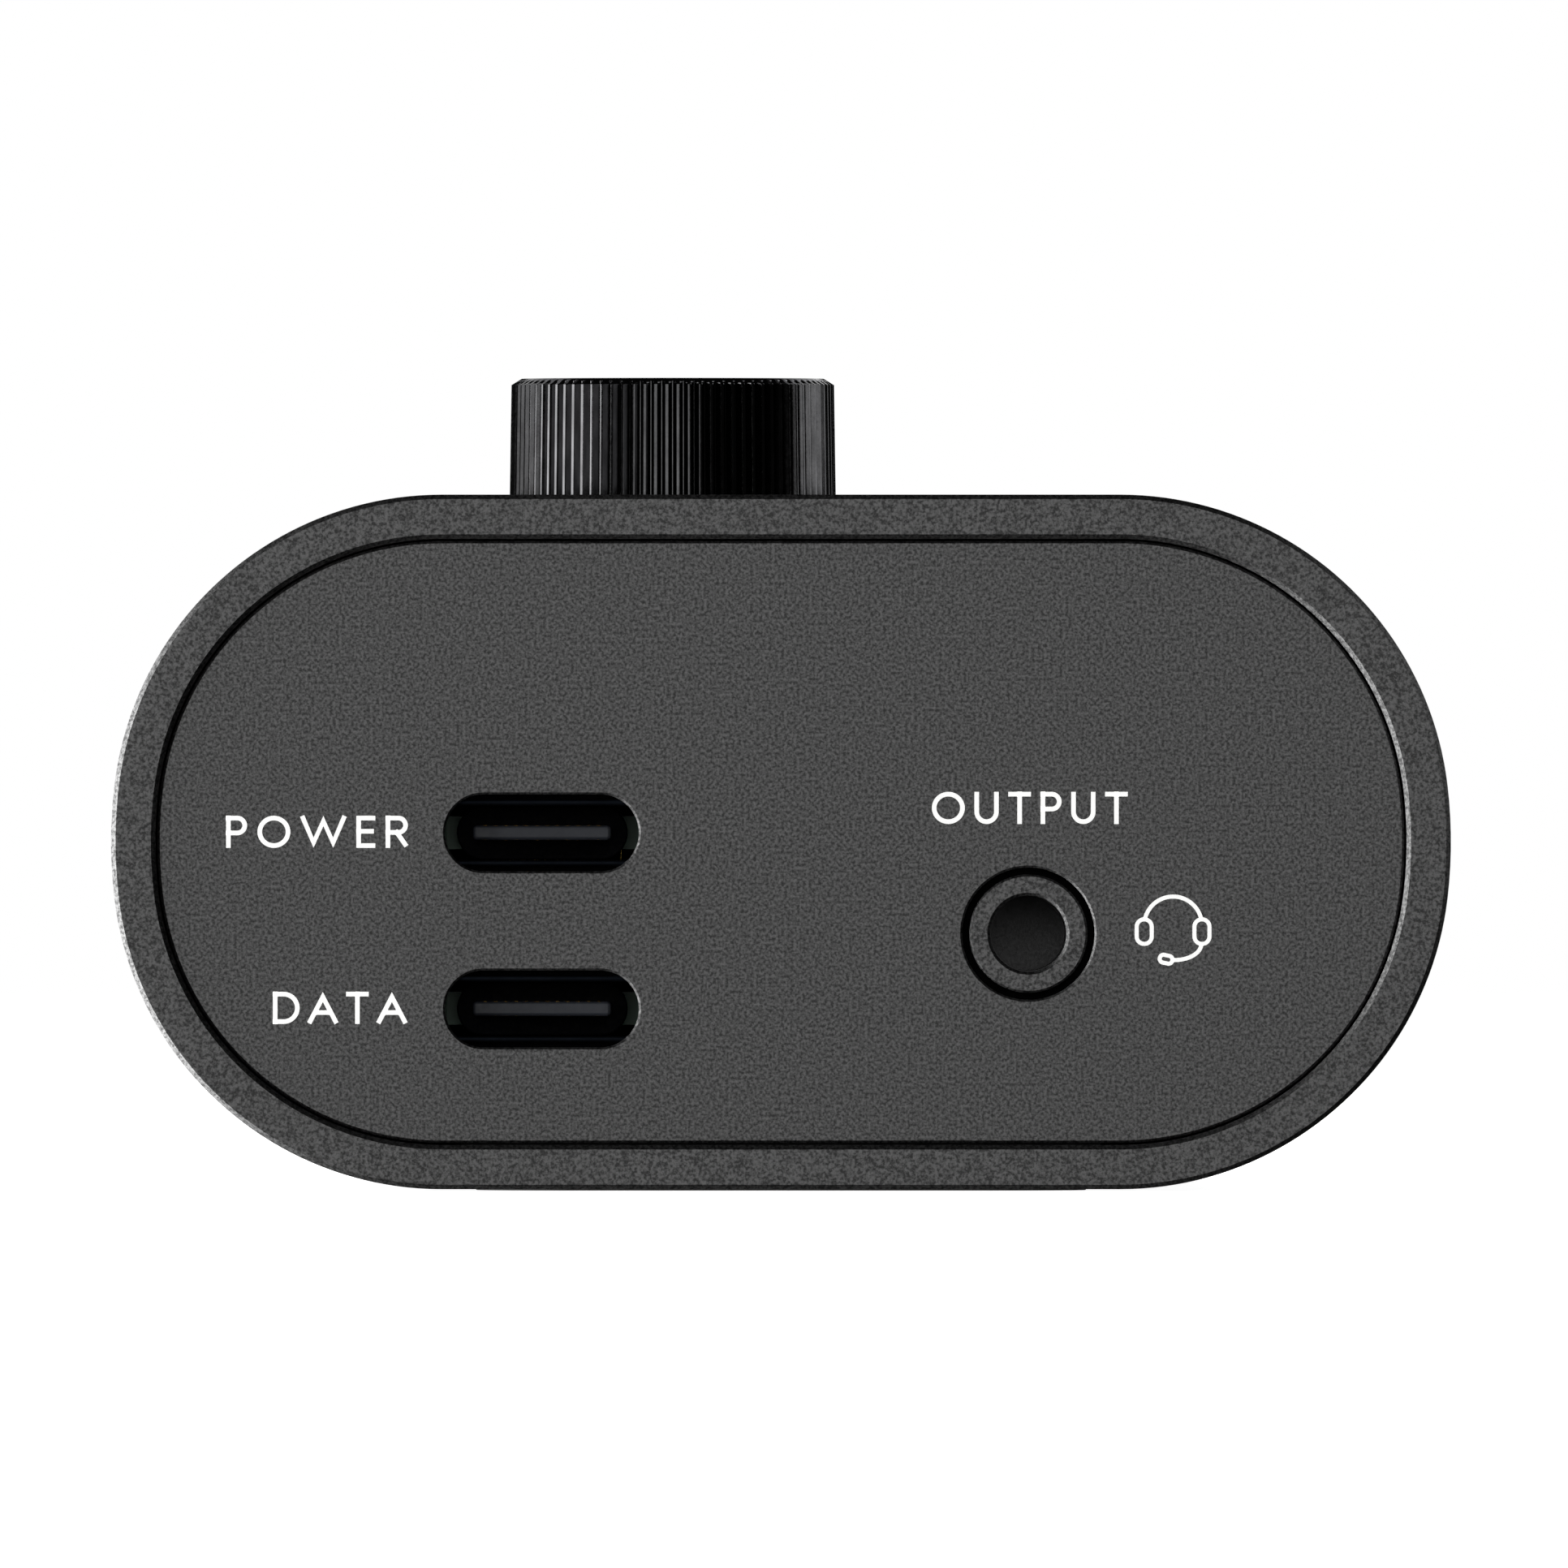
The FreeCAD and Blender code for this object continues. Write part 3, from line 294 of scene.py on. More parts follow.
def edge_rings(loop, place, face, side, size, steps=4):
    """Rings round the edge where a face at level face meets a side that goes towards level side."""
    sign = 1 if side > face else -1
    if size <= 0:
        return [place(loop(0.0), face)]
    return [place(loop(grow), face + sign * drop) for grow, drop in rounded_edge(size, steps)]


def slab(surface, outer, holes, near, far, place, near_edge=0.0, far_edge=0.0, hole_edge=0.0, steps=4):
    """A solid plate from level near to level far: an outer side, a wall down each hole, two flat faces.
    Its outer edges are broken by near_edge and far_edge, and each hole's near edge by hole_edge. One step
    gives a plain chamfer and more steps a round."""
    def side(loop, first_size, last_size):
        return (edge_rings(loop, place, near, far, first_size, steps)
                + edge_rings(loop, place, far, near, last_size, steps)[::-1])

    outside = side(outer, near_edge, far_edge)
    surface.strip(outside)
    near_holes, far_holes = [], []
    for hole in holes:
        inside = side(lambda grow, hole=hole: hole(-grow), hole_edge, 0.0)
        surface.strip(inside)
        near_holes.append(inside[0])
        far_holes.append(inside[-1])
    surface.fill(outside[0], *near_holes)
    surface.fill(outside[-1], *far_holes)
    return surface


# --- finishes ---------------------------------------------------------------------------------------

def add(tree, kind, links=(), **settings):
    """Adds a shader node, sets its properties and input values, and links its inputs."""
    made = tree.nodes.new("ShaderNode" + kind)
    for name, setting in settings.items():
        socket = name.replace("_", " ").title()
        if socket in made.inputs:
            made.inputs[socket].default_value = setting
        else:
            setattr(made, name, setting)
    for target, source in dict(links).items():
        tree.links.new(source, made.inputs[target])
    return made


def shader(name, base, metallic, roughness, **extra):
    """A new material with a principled shader whose uniform values stand on its own sockets."""
    material = bpy.data.materials.new(name)
    material.use_nodes = True
    tree = material.node_tree
    principled = next(node for node in tree.nodes if node.type == "BSDF_PRINCIPLED")
    principled.inputs["Base Color"].default_value = (*base, 1)
    principled.inputs["Metallic"].default_value = metallic
    principled.inputs["Roughness"].default_value = roughness
    for socket, setting in extra.items():
        principled.inputs[socket.replace("_", " ")].default_value = setting
    return material, tree, principled


def grain(tree, across_mm, detail=2.0, rough=0.5, stretch=(1, 1, 1)):
    """A noise whose lumps are about across_mm wide, from 0 to 1, with stretch multiplying each axis."""
    where = add(tree, "TexCoord").outputs["Object"]
    placed = add(tree, "Mapping", {"Vector": where})
    placed.inputs["Scale"].default_value = stretch
    return add(tree, "TexNoise", {"Vector": placed.outputs["Vector"]}, scale=1 / (across_mm * MM),
               detail=detail, roughness=rough).outputs["Fac"]


def shades(tree, factor, dark, light, low=0.3, high=0.7):
    """A colour that goes from dark to light as factor goes from low to high."""
    ramp = add(tree, "ValToRGB", {"Fac": factor})
    ramp.color_ramp.elements[0].position = low
    ramp.color_ramp.elements[1].position = high
    ramp.color_ramp.elements[0].color = (*dark, 1)
    ramp.color_ramp.elements[1].color = (*light, 1)
    return ramp.outputs["Color"]


def between(tree, factor, low, high):
    """A number that follows factor's middle range from low to high."""
    made = add(tree, "MapRange", {"Value": factor})
    for socket, setting in (("From Min", 0.3), ("From Max", 0.7), ("To Min", low), ("To Max", high)):
        made.inputs[socket].default_value = setting
    return made.outputs["Result"]


def bump(tree, height, depth_mm, strength=1.0, over=None):
    made = add(tree, "Bump", {"Height": height}, distance=depth_mm * MM, strength=strength)
    if over is not None:
        tree.links.new(over, made.inputs["Normal"])
    return made.outputs["Normal"]


def scaled(base, share):
    return tuple(min(1.0, channel * share) for channel in base)


def blasted_anodised():
    """Bead-blasted, anodised aluminium: an even satin grey broken by a fine mottled grain."""
    base = tuple(sizes("housing").metal)
    material, tree, principled = shader("Anodised aluminium, bead blasted", base, 1.0, 0.45)
    mottle = grain(tree, 0.15, detail=3.0, rough=0.62)
    pits = grain(tree, 0.09, detail=1.0)
    tree.links.new(shades(tree, mottle, scaled(base, 0.5), scaled(base, 1.6), 0.38, 0.62),
                   principled.inputs["Base Color"])
    tree.links.new(between(tree, pits, 0.4, 0.5), principled.inputs["Roughness"])
    tree.links.new(bump(tree, mottle, 0.012, 0.5, over=bump(tree, pits, 0.004, 0.4)), principled.inputs["Normal"])
    return material


def black_knob():
    """Turned and black anodised aluminium, polished on the crests: deep black with crisp highlights."""
    base = tuple(sizes("knob").finish)
    material, tree, principled = shader("Anodised aluminium, turned black", base, 1.0, 0.16,
                                        Specular_Tint=(0.4, 0.4, 0.4, 1))
    streak = grain(tree, 0.35, detail=2.0, stretch=(1, 1, 0.25))
    speck = grain(tree, 0.12, detail=1.0)
    tree.links.new(shades(tree, streak, scaled(base, 0.8), scaled(base, 1.25)), principled.inputs["Base Color"])
    tree.links.new(between(tree, speck, 0.13, 0.2), principled.inputs["Roughness"])
    tree.links.new(bump(tree, speck, 0.003, 0.3), principled.inputs["Normal"])
    return material


def moulded(name, sheet, roughness, across_mm, depth_mm, contrast=0.18, metallic=0.0, **extra):
    """A plain material in one colour with a grain of lumps across_mm wide in colour, gloss and surface."""
    base = linear(sheet)
    material, tree, principled = shader(name, base, metallic, roughness, **extra)
    lumps = grain(tree, across_mm, detail=2.0)
    soft = grain(tree, across_mm * 9, detail=1.0)
    tree.links.new(shades(tree, soft, scaled(base, 1 - contrast), scaled(base, 1 + contrast)),
                   principled.inputs["Base Color"])
    tree.links.new(between(tree, lumps, roughness * 0.88, min(1, roughness * 1.12)), principled.inputs["Roughness"])
    tree.links.new(bump(tree, lumps, depth_mm, 0.5), principled.inputs["Normal"])
    return material


def label_ink():
    """Pad-printed white ink: matt, very slightly thin in places, and glowing a little in its own white as painted
    light.
    """
    base = tuple(sizes("label").ink)
    material, tree, principled = shader("Pad-printed ink, white, glowing as painted light", base, 0.0, 0.6)
    # The ink glows in its own white, a painted light that keeps the print bright.
    principled.inputs["Emission Color"].default_value = (*base, 1)
    principled.inputs["Emission Strength"].default_value = 0.6
    tree.links.new(shades(tree, grain(tree, 0.2), scaled(base, 0.93), base), principled.inputs["Base Color"])
    tree.links.new(bump(tree, grain(tree, 0.08), 0.001, 0.2), principled.inputs["Normal"])
    return material


def board_mask():
    """Glass laminate under green solder mask, with brighter copper tracks along and across the board."""
    material, tree, principled = shader("Glass laminate, solder masked", linear("#123d2a"), 0.0, 0.35)
    where = add(tree, "TexCoord").outputs["Object"]
    tracks = add(tree, "TexBrick", {"Vector": where}, scale=1 / (1.2 * MM))
    tracks.inputs["Mortar Size"].default_value = 0.08
    tree.links.new(shades(tree, tracks.outputs["Fac"], linear("#12402b"), linear("#2c6b45"), 0.4, 0.6),
                   principled.inputs["Base Color"])
    tree.links.new(bump(tree, tracks.outputs["Fac"], 0.03, 0.5), principled.inputs["Normal"])
    return material


def rubber():
    """Moulded rubber sheet: dull black with a fine pebble that grips the table."""
    material, tree, principled = shader("Rubber, moulded sheet", linear("#1a1a1a"), 0.0, 0.78)
    where = add(tree, "TexCoord").outputs["Object"]
    pebble = add(tree, "TexVoronoi", {"Vector": where}, scale=1 / (0.7 * MM)).outputs["Distance"]
    dust = grain(tree, 3.0)
    tree.links.new(shades(tree, dust, linear("#151515"), linear("#222221")), principled.inputs["Base Color"])
    tree.links.new(bump(tree, pebble, 0.08, 0.6), principled.inputs["Normal"])
    return material


FINISHES = {
    "shell_finish": blasted_anodised,
    "knob_black": black_knob,
    "label_ink": label_ink,
    "pad_rubber": rubber,
    "board_laminate": board_mask,
    # Blackened by heat and oil, so darker than bare steel.
    "screw_steel": lambda: moulded("Steel, oil blackened", "#3a3a3c", 0.34, 0.2, 0.004, metallic=1.0),
    # Tool marks of the bar lathe show as a fine grain.
    "spacer_brass": lambda: moulded("Brass, turned", "#c9a24e", 0.26, 0.15, 0.004, metallic=1.0),
    # Drawn and plated thin sheet, drawn near black all over.
    "port_steel": lambda: moulded("Steel, deep drawn, near black", "#14171c", 0.5, 0.18, 0.003, metallic=1.0),
    # Glass-filled liquid crystal polymer has a dull blue-black skin.
    "tongue_moulding": lambda: moulded("Liquid crystal polymer, moulded", "#2b2e35", 0.5, 0.2, 0.004),
    # The same polymer deep in a port, drawn darker than it is as painted shade, so that the port reads as deep.
    "painted_shade_moulding": lambda: moulded("Liquid crystal polymer, painted shade", "#030309", 0.7, 0.2, 0.004,
                                     Specular_IOR_Level=0.12),
    # Rubber down in a narrow gap, drawn darker than it is as painted shade, so that the gap reads as deep.
    "painted_shade_rubber": lambda: moulded("Rubber, painted shade in a narrow gap", "#060607", 0.85, 0.3, 0.01, Specular_IOR_Level=0.1),
    # Satin bore of a jack, drawn lighter than the black nylon of its slot as painted light; it also catches real light
    # along its lower side.
    "painted_light_bore_moulding": lambda: moulded("Nylon, moulded and reamed, with painted light", "#3c3c3d", 0.36, 0.16, 0.012),
    # A thin bright plating that keeps the strip's rolled grain.
    "contact_gold": lambda: moulded("Copper alloy, gold plated", "#d9b056", 0.22, 0.1, 0.002, metallic=1.0),
    # Spark-eroded tool texture, even and dull.
    "black_moulding": lambda: moulded("Nylon, moulded black", "#1d1d1e", 0.55, 0.25, 0.01),
    # Fine silica filler leaves a sanded look.
    "chip_resin": lambda: moulded("Epoxy, moulded round a chip", "#202022", 0.6, 0.12, 0.006),
    # Bare drawn cans, slightly scuffed.
    "can_metal": lambda: moulded("Aluminium, drawn can", "#c4c5c8", 0.3, 0.3, 0.003, metallic=1.0),
    # Fired body with a slight speckle.
    "part_ceramic": lambda: moulded("Ceramic, fired", "#a08a68", 0.5, 0.1, 0.004, contrast=0.3),
    # Slippery natural resin, slightly waxy.
    "pale_moulding": lambda: moulded("Acetal, natural", "#dcdad2", 0.4, 0.3, 0.004, contrast=0.05),
    # Clear rod, milky from the light that it carries.
    "light_pipe_clear": lambda: moulded("Acrylic, moulded clear", "#c6cbcb", 0.12, 0.3, 0.001, contrast=0.06,
                                        Transmission_Weight=0.35, Coat_Weight=0.3),
}
made_finishes = {}


def finish_of(slot):
    """The material of a slot, made once."""
    if slot not in made_finishes:
        made_finishes[slot] = FINISHES[slot]()
    return made_finishes[slot]


# --- pieces -----------------------------------------------------------------------------------------

def housing_piece():
    """The tube: its section is carried along Y with rounded mouths. The top and bottom flats are left
    out of the carried surface and filled as flat faces round their holes."""
    chosen = sizes("housing")
    edge, wall = chosen.mouth_break, chosen.wall
    surface = Surface()
    loop = pill_loop()
    flats = [index for index in range(len(loop)) if abs(loop[index, 1] - loop[(index + 1) % len(loop), 1]) < 1e-9
             and abs(loop[index, 0] - loop[(index + 1) % len(loop), 0]) > 5 * MM]
    front, back = SHELL_LOW.y, SHELL_HIGH.y
    mouths = []
    for grow, inward in ((0.0, 1), (-wall, -1)):
        def skin(offset, grow=grow, inward=inward):
            return pill_loop(grow + inward * offset)
        near = edge_rings(skin, facing_y, front, back, edge, 1)
        far = edge_rings(skin, facing_y, back, front, edge, 1)[::-1]
        surface.strip(near)
        surface.strip(far)
        surface.strip([near[-1], far[0]], skip=flats)
        mouths.append((near[0], far[-1], near[-1], far[0]))
    (outer_near, outer_far, outer_low, outer_high), (inner_near, inner_far, inner_low, inner_high) = mouths
    surface.strip([outer_near, inner_near], level=1)
    surface.strip([outer_far, inner_far], level=1)

    def panel(low_ring, high_ring, flat):
        following = (flat + 1) % len(loop)
        return np.array([low_ring[flat], low_ring[following], high_ring[following], high_ring[flat]])

    top, bottom = sorted(flats, key=lambda index: -loop[index, 1])
    knob = middle(KNOB_LOW, KNOB_HIGH)
    knob_hole = circle_loop(knob.x, knob.y, (KNOB_HIGH.x - KNOB_LOW.x) / 2 + KNOB_HOLE_ROOM, 128)
    lamps = [circle_loop(x, y, 1.01 * MM, 48) for x, y in lamp_places()]
    ceiling = SHELL_HIGH.z - wall
    outer_holes, inner_holes = [], []
    for hole, size in [(knob_hole, chosen.hole_break)] + [(lamp, 0.05 * MM) for lamp in lamps]:
        rings = edge_rings(lambda grow, hole=hole: hole(-grow), facing_z, SHELL_HIGH.z, ceiling, size)
        rings.append(facing_z(hole(0.0), ceiling))
        surface.strip(rings)
        outer_holes.append(rings[0])
        inner_holes.append(rings[-1])
    surface.fill(panel(outer_low, outer_high, top), *outer_holes)
    surface.fill(panel(inner_low, inner_high, top), *inner_holes)

    pad_low, pad_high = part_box("base_pad")
    recess_level, floor = pad_high.z, SHELL_LOW.z + wall
    recess = block_loop(0, 0, pad_high.x - pad_low.x + 0.3 * MM, pad_high.y - pad_low.y + 0.3 * MM, 5 * MM)
    rings = edge_rings(lambda grow: recess(-grow), facing_z, SHELL_LOW.z, recess_level, 0.1 * MM)
    rings.append(facing_z(recess(0.0), recess_level))
    surface.strip(rings)
    surface.fill(panel(outer_low, outer_high, bottom), rings[0])
    heads, shanks = [], []
    for x, y in base_screw_places():
        wide = facing_z(circle_loop(x, y, 1.95 * MM, 40)(), recess_level)
        narrow = facing_z(circle_loop(x, y, 1.05 * MM, 40)(), recess_level + 0.9 * MM)
        through = facing_z(circle_loop(x, y, 1.05 * MM, 40)(), floor)
        surface.strip([wide, narrow, through])
        heads.append(wide)
        shanks.append(through)
    surface.fill(rings[-1], *heads)
    surface.fill(panel(inner_low, inner_high, bottom), *shanks)
    return surface.piece("housing_tube", "shell_finish", replaces=["housing_shell"])


def lamp_places():
    """The three lamps' centres: the middle of their box and its two ends, each a lamp's radius in."""
    low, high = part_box("indicator_light_pipes")
    centre = middle(low, high)
    reach = (high.y - low.y) / 2 - (high.x - low.x) / 2
    return [(centre.x, centre.y + step * reach) for step in (-1, 0, 1)]


def base_screw_places():
    """The four base screws' axes: their box's corners, each a head's radius in."""
    low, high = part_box("base_screws")
    inset = 1.9 * MM
    return [(x, y) for x in (low.x + inset, high.x - inset) for y in (low.y + inset, high.y - inset)]


def plate_piece(name, node, holes, hole_edge, turn):
    """A plate in the tube's section with its openings, and its two tabs along the tube's floor."""
    chosen = sizes("housing")
    low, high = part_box(node)
    face, back = (low.y, low.y + PLATE_THICKNESS) if turn > 0 else (high.y, high.y - PLATE_THICKNESS)
    inset = chosen.wall + chosen.plate_gap
    surface = Surface()
    slab(surface, lambda grow: pill_loop(grow - inset), holes, face, back, facing_y,
         near_edge=chosen.plate_break, hole_edge=hole_edge, steps=1)
    end = high.y if turn > 0 else low.y
    for x, y in base_screw_places():
        if (y < 0) == (turn > 0):
            tab = block_loop(x, (back + end) / 2, 7 * MM, abs(end - back), 0.6 * MM)
            slab(surface, tab, [circle_loop(x, y, 1.02 * MM, 32)], 6.35 * MM, 3.85 * MM, facing_z, near_edge=0.15 * MM)
    return surface.piece(name, "shell_finish", replaces=[node])


def collar_piece(name, node):
    """A plain ring round a jack's mouth with both face edges rounded over."""
    low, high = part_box(node)
    centre, radius = middle(low, high), (high.x - low.x) / 2
    turn = 1 if centre.y < 0 else -1
    face, back = (low.y, high.y) if turn > 0 else (high.y, low.y)
    bore = radius - (1.02 if radius < 4 * MM else 1.75) * MM
    surface = Surface()
    slab(surface, circle_loop(centre.x, centre.z, radius, 96), [circle_loop(centre.x, centre.z, bore, 96)],
         face, back, facing_y, near_edge=0.1 * MM, hole_edge=0.14 * MM, steps=1)
    return surface.piece(name, "shell_finish", replaces=[node])


def bore_piece(name, node, radius, depth):
    """A thin liner of a jack's bore: a tube that is closed at its inner end, turned about Y."""
    low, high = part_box(node)
    centre = middle(low, high)
    turn = 1 if centre.y < 0 else -1
    face = low.y if turn > 0 else high.y
    start, end, skin = face + turn * 2.2 * MM, face + turn * depth * MM, 0.03 * MM
    outer = [facing_y(circle_loop(centre.x, centre.z, radius * MM - 0.005 * MM, 72)(), level)
             for level in (start, end)]
    inner = [facing_y(circle_loop(centre.x, centre.z, radius * MM - skin, 72)(), level)
             for level in (end - turn * skin, start)]
    surface = Surface()
    surface.strip(outer)
    surface.strip([outer[0], inner[1]])
    surface.strip(inner)
    surface.fill(outer[1])
    surface.fill(inner[0])
    # The liner takes a lighter copy of the black nylon, painted light inside the bore.
    return surface.piece(name, "black_moulding", finish="painted_light_bore_moulding")


def port_pieces(name):
    """A port's drawn shell with a rolled lip, its inner wall drawn darker with painted shade, and its tongue with a
    rounded nose and twelve contact strips let into each side."""
    low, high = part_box(f"{name}_port_shell")
    centre = middle(low, high)
    width, height, skin = high.x - low.x, high.z - low.z, 0.3 * MM
    surface = Surface()
    slab(surface, slot_loop(centre.x, centre.z, width, height),
         [slot_loop(centre.x, centre.z, width - 2 * skin, height - 2 * skin)],
         low.y, high.y, facing_y, near_edge=0.12 * MM, hole_edge=0.1 * MM)
    surface.piece(f"{name}_port_sleeve", "port_steel", replaces=[f"{name}_port_shell"])
    low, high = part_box(f"{name}_port_tongue")
    inner_wall = high.y - 2.6 * MM
    blade = Surface()
    slab(blade, block_loop(centre.x, centre.z, 6.69 * MM, 0.7 * MM, 0.2 * MM), [], low.y, inner_wall + 0.1 * MM,
         facing_y, near_edge=0.15 * MM)
    blade.piece(f"{name}_port_blade", "tongue_moulding", replaces=[f"{name}_port_tongue"])
    wall = Surface()
    slab(wall, slot_loop(centre.x, centre.z, high.x - low.x, high.z - low.z), [], inner_wall, high.y,
         facing_y, near_edge=0.1 * MM)
    # The inner wall's polymer is drawn near black, a painted shade deep in the port.
    wall.piece(f"{name}_port_inner_wall", "tongue_moulding", finish="painted_shade_moulding")
    strips = Surface()
    for step in np.arange(12) - 5.5:
        for side in (-1, 1):
            shape = block_loop(centre.x + step * 0.5 * MM, (low.y + 0.55 * MM + inner_wall) / 2, 0.26 * MM,
                               inner_wall - low.y - 0.55 * MM, 0.06 * MM, 2)
            level = centre.z + side * 0.353 * MM
            slab(strips, shape, [], level, centre.z + side * 0.3 * MM, facing_z)
    strips.piece(f"{name}_port_strips", "contact_gold", replaces=[f"{name}_port_contacts"])


def ridge_profile(chosen, count):
    """Angles round one turn, and how deep the surface lies there from 0 on a crest to 1 in a groove."""
    pitch = math.pi * (KNOB_HIGH.x - KNOB_LOW.x) / count
    crest, floor = chosen.ridge_crest / 2 / pitch, 0.5 - chosen.groove_floor / 2 / pitch
    places = np.array([-floor, -(crest + 0.05), -crest, 0, crest, crest + 0.05, floor])
    depths = np.array([1, 0.05 / (floor - crest) + 0.02, 0.02, 0, 0.02, 0.05 / (floor - crest) + 0.02, 1])
    turns = (np.arange(count)[:, None] + places[None, :]).ravel() * 2 * math.pi / count
    return turns, np.tile(depths, count)


def knob_piece():
    """The knob: its radius is the lesser of a turned profile's, which depends on the level, and the
    knurl's, which is the crest radius less the ridge depth times the groove's share of it at that angle."""
    chosen = sizes("knob")
    centre = middle(KNOB_LOW, KNOB_HIGH)
    radius, low, top = (KNOB_HIGH.x - KNOB_LOW.x) / 2, KNOB_LOW.z, KNOB_HIGH.z
    turns, depths = ridge_profile(chosen, KNOB_RIDGES)
    direction = np.stack([np.cos(turns), np.sin(turns)], 1)

    def ring(reach, level, lean=0.0):
        """The turned profile's reach at a level, or the knurl's reach there if that is less."""
        at = np.minimum(reach, radius - lean - chosen.ridge_depth * depths)
        return np.column_stack([centre.x + at * direction[:, 0], centre.y + at * direction[:, 1],
                                np.full(len(at), level)])

    draft, width, drop = chosen.draft, chosen.edge_break, chosen.edge_drop
    shoulder = top - drop
    rings = [ring(radius - 0.12 * MM, low), ring(radius, low + 0.1 * MM)]
    rings += [ring(radius, low + (shoulder - low) * share, draft * share) for share in (0.35, 0.7, 1.0)]
    rings += [ring(radius - draft - width * share, shoulder + drop * share, draft)
              for share in (0.15, 0.3, 0.45, 0.6, 0.75, 0.9, 1.0)]
    dish = radius - 1.2 * MM
    rings += [ring(dish, top), ring(dish - 0.12 * MM, top - 0.03 * MM), ring(dish - 0.3 * MM, top - 0.1 * MM)]
    rings += [ring(dish * share, top - (0.1 + 0.16 * (1 - share)) * MM) for share in (0.8, 0.5, 0.2)]
    surface = Surface()
    surface.strip(rings)
    surface.fill(rings[-1])
    wall, boss, roof = radius - 1.5 * MM, 4.6 * MM, top - 1.2 * MM
    cavity = [ring(reach, level) for reach, level in (
        (wall + 0.1 * MM, low), (wall, low + 0.1 * MM), (wall, roof), (boss, roof), (boss, low + 0.1 * MM),
        (boss - 0.1 * MM, low))]
    surface.strip([rings[0], cavity[0]])
    surface.strip(cavity)
    bore_top = top - 1.35 * MM
    flat = 1.525 * MM
    shape = np.minimum(direction[:, 0] * 3.025 * MM, flat)
    bore = np.stack([centre.x + shape, centre.y + direction[:, 1] * 3.025 * MM], 1)
    bore_rings = [facing_z(bore, low), facing_z(bore, bore_top)]
    surface.strip([cavity[-1], bore_rings[0]])
    surface.strip(bore_rings)
    surface.fill(bore_rings[1])
    return surface.piece("volume_knob_turned", "knob_black", body="knob", smooth=28, replaces=["volume_knob"])


def pad_piece():
    """The rubber sheet: a slab with round corners and soft edges."""
    low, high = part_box("base_pad")
    surface = Surface()
    slab(surface, block_loop(0, 0, high.x - low.x, high.y - low.y, 4.85 * MM, 20), [], low.z, high.z, facing_z,
         near_edge=0.09 * MM)
    return surface.piece("base_pad_sheet", "pad_rubber", replaces=["base_pad"])


# --- printed labels ---------------------------------------------------------------------------------

def ribbon(surface, path, width, level, thickness, turn, closed=False):
    """A flat printed stroke: the path moved to each side by half the width along its mitred normal. An
    open path also goes on by half the width at each end, so that it ends square."""
    path = np.array(path, float)
    if not closed:
        path[0] += (path[0] - path[1]) / np.linalg.norm(path[0] - path[1]) * width / 2
        path[-1] += (path[-1] - path[-2]) / np.linalg.norm(path[-1] - path[-2]) * width / 2
    ahead = np.roll(path, -1, 0) - path
    if not closed:
        ahead[-1] = ahead[-2]
    behind = np.roll(ahead, 1, 0)
    if not closed:
        behind[0] = ahead[0]
    ahead /= np.linalg.norm(ahead, axis=1, keepdims=True)
    behind /= np.linalg.norm(behind, axis=1, keepdims=True)
    along = ahead + behind
    along /= np.linalg.norm(along, axis=1, keepdims=True)
    across = np.stack([-along[:, 1], along[:, 0]], 1)
    mitre = np.clip(1 / np.maximum((along * ahead).sum(1, keepdims=True), 0.3), 1, 2.2) * width / 2
    left, right = path + across * mitre, path - across * mitre
    if closed:
        rings = [facing_y(side, at) for side, at in
                 ((left, level), (right, level), (right, level - turn * thickness), (left, level - turn * thickness),
                  (left, level))]
        surface.strip(rings)
        return
    edge = np.concatenate([left, right[::-1]])
    surface.strip([facing_y(edge, level), facing_y(edge, level - turn * thickness)])
    count = len(path)
    for at in (level, level - turn * thickness):
        first = surface.add(facing_y(edge, at))
        surface.faces += [[first + i, first + i + 1, first + 2 * count - 2 - i, first + 2 * count - 1 - i]
                          for i in range(count - 1)]
        surface.level += [1] * (count - 1)


def bowl(width, high, low, count=14):
    """The round side of a P, R or D: level strokes joined by a half circle."""
    radius = (high - low) / 2
    return [(0, high)] + arc((width - radius, (high + low) / 2), radius, math.pi / 2, -math.pi / 2, count).tolist() + [
        (0, low)]


def letter(kind, width, rise):
    """The strokes of one capital as centre lines in a box of that width and rise."""
    stem = [(0, 0), (0, rise)]
    shapes = {
        "P": lambda: [stem, bowl(width, rise, rise * 0.46)],
        "R": lambda: [stem, bowl(width, rise, rise * 0.48), [(width * 0.5, rise * 0.48), (width - 0.02, 0.06)]],
        "D": lambda: [stem, bowl(width, rise, 0, 24)],
        "O": lambda: [[(width / 2 * (1 + math.cos(turn)), rise / 2 * (1 + math.sin(turn)))
                       for turn in np.linspace(0, 2 * math.pi, 45)[:-1]]],
        "W": lambda: [[(0, rise), (width * 0.26, 0.14), (width * 0.5, rise - 0.14), (width * 0.74, 0.14),
                       (width, rise)]],
        "E": lambda: [[(width, rise), (0, rise), (0, 0), (width, 0)], [(0, rise * 0.52), (width * 0.9, rise * 0.52)]],
        "A": lambda: [[(0, 0.02), (width / 2, rise - 0.14), (width, 0.02)],
                      [(width * 0.24, rise * 0.33), (width * 0.76, rise * 0.33)]],
        "T": lambda: [[(0, rise), (width, rise)], [(width / 2, rise), (width / 2, 0)]],
        "U": lambda: [[(0, rise)] + arc((width / 2, width / 2), width / 2, math.pi, 2 * math.pi, 20).tolist()
                      + [(width, rise)]],
        "I": lambda: [stem],
        "N": lambda: [stem, [(width, 0), (width, rise)], [(0.04, rise - 0.08), (width - 0.04, 0.08)]],
    }
    return shapes[kind](), kind == "O"


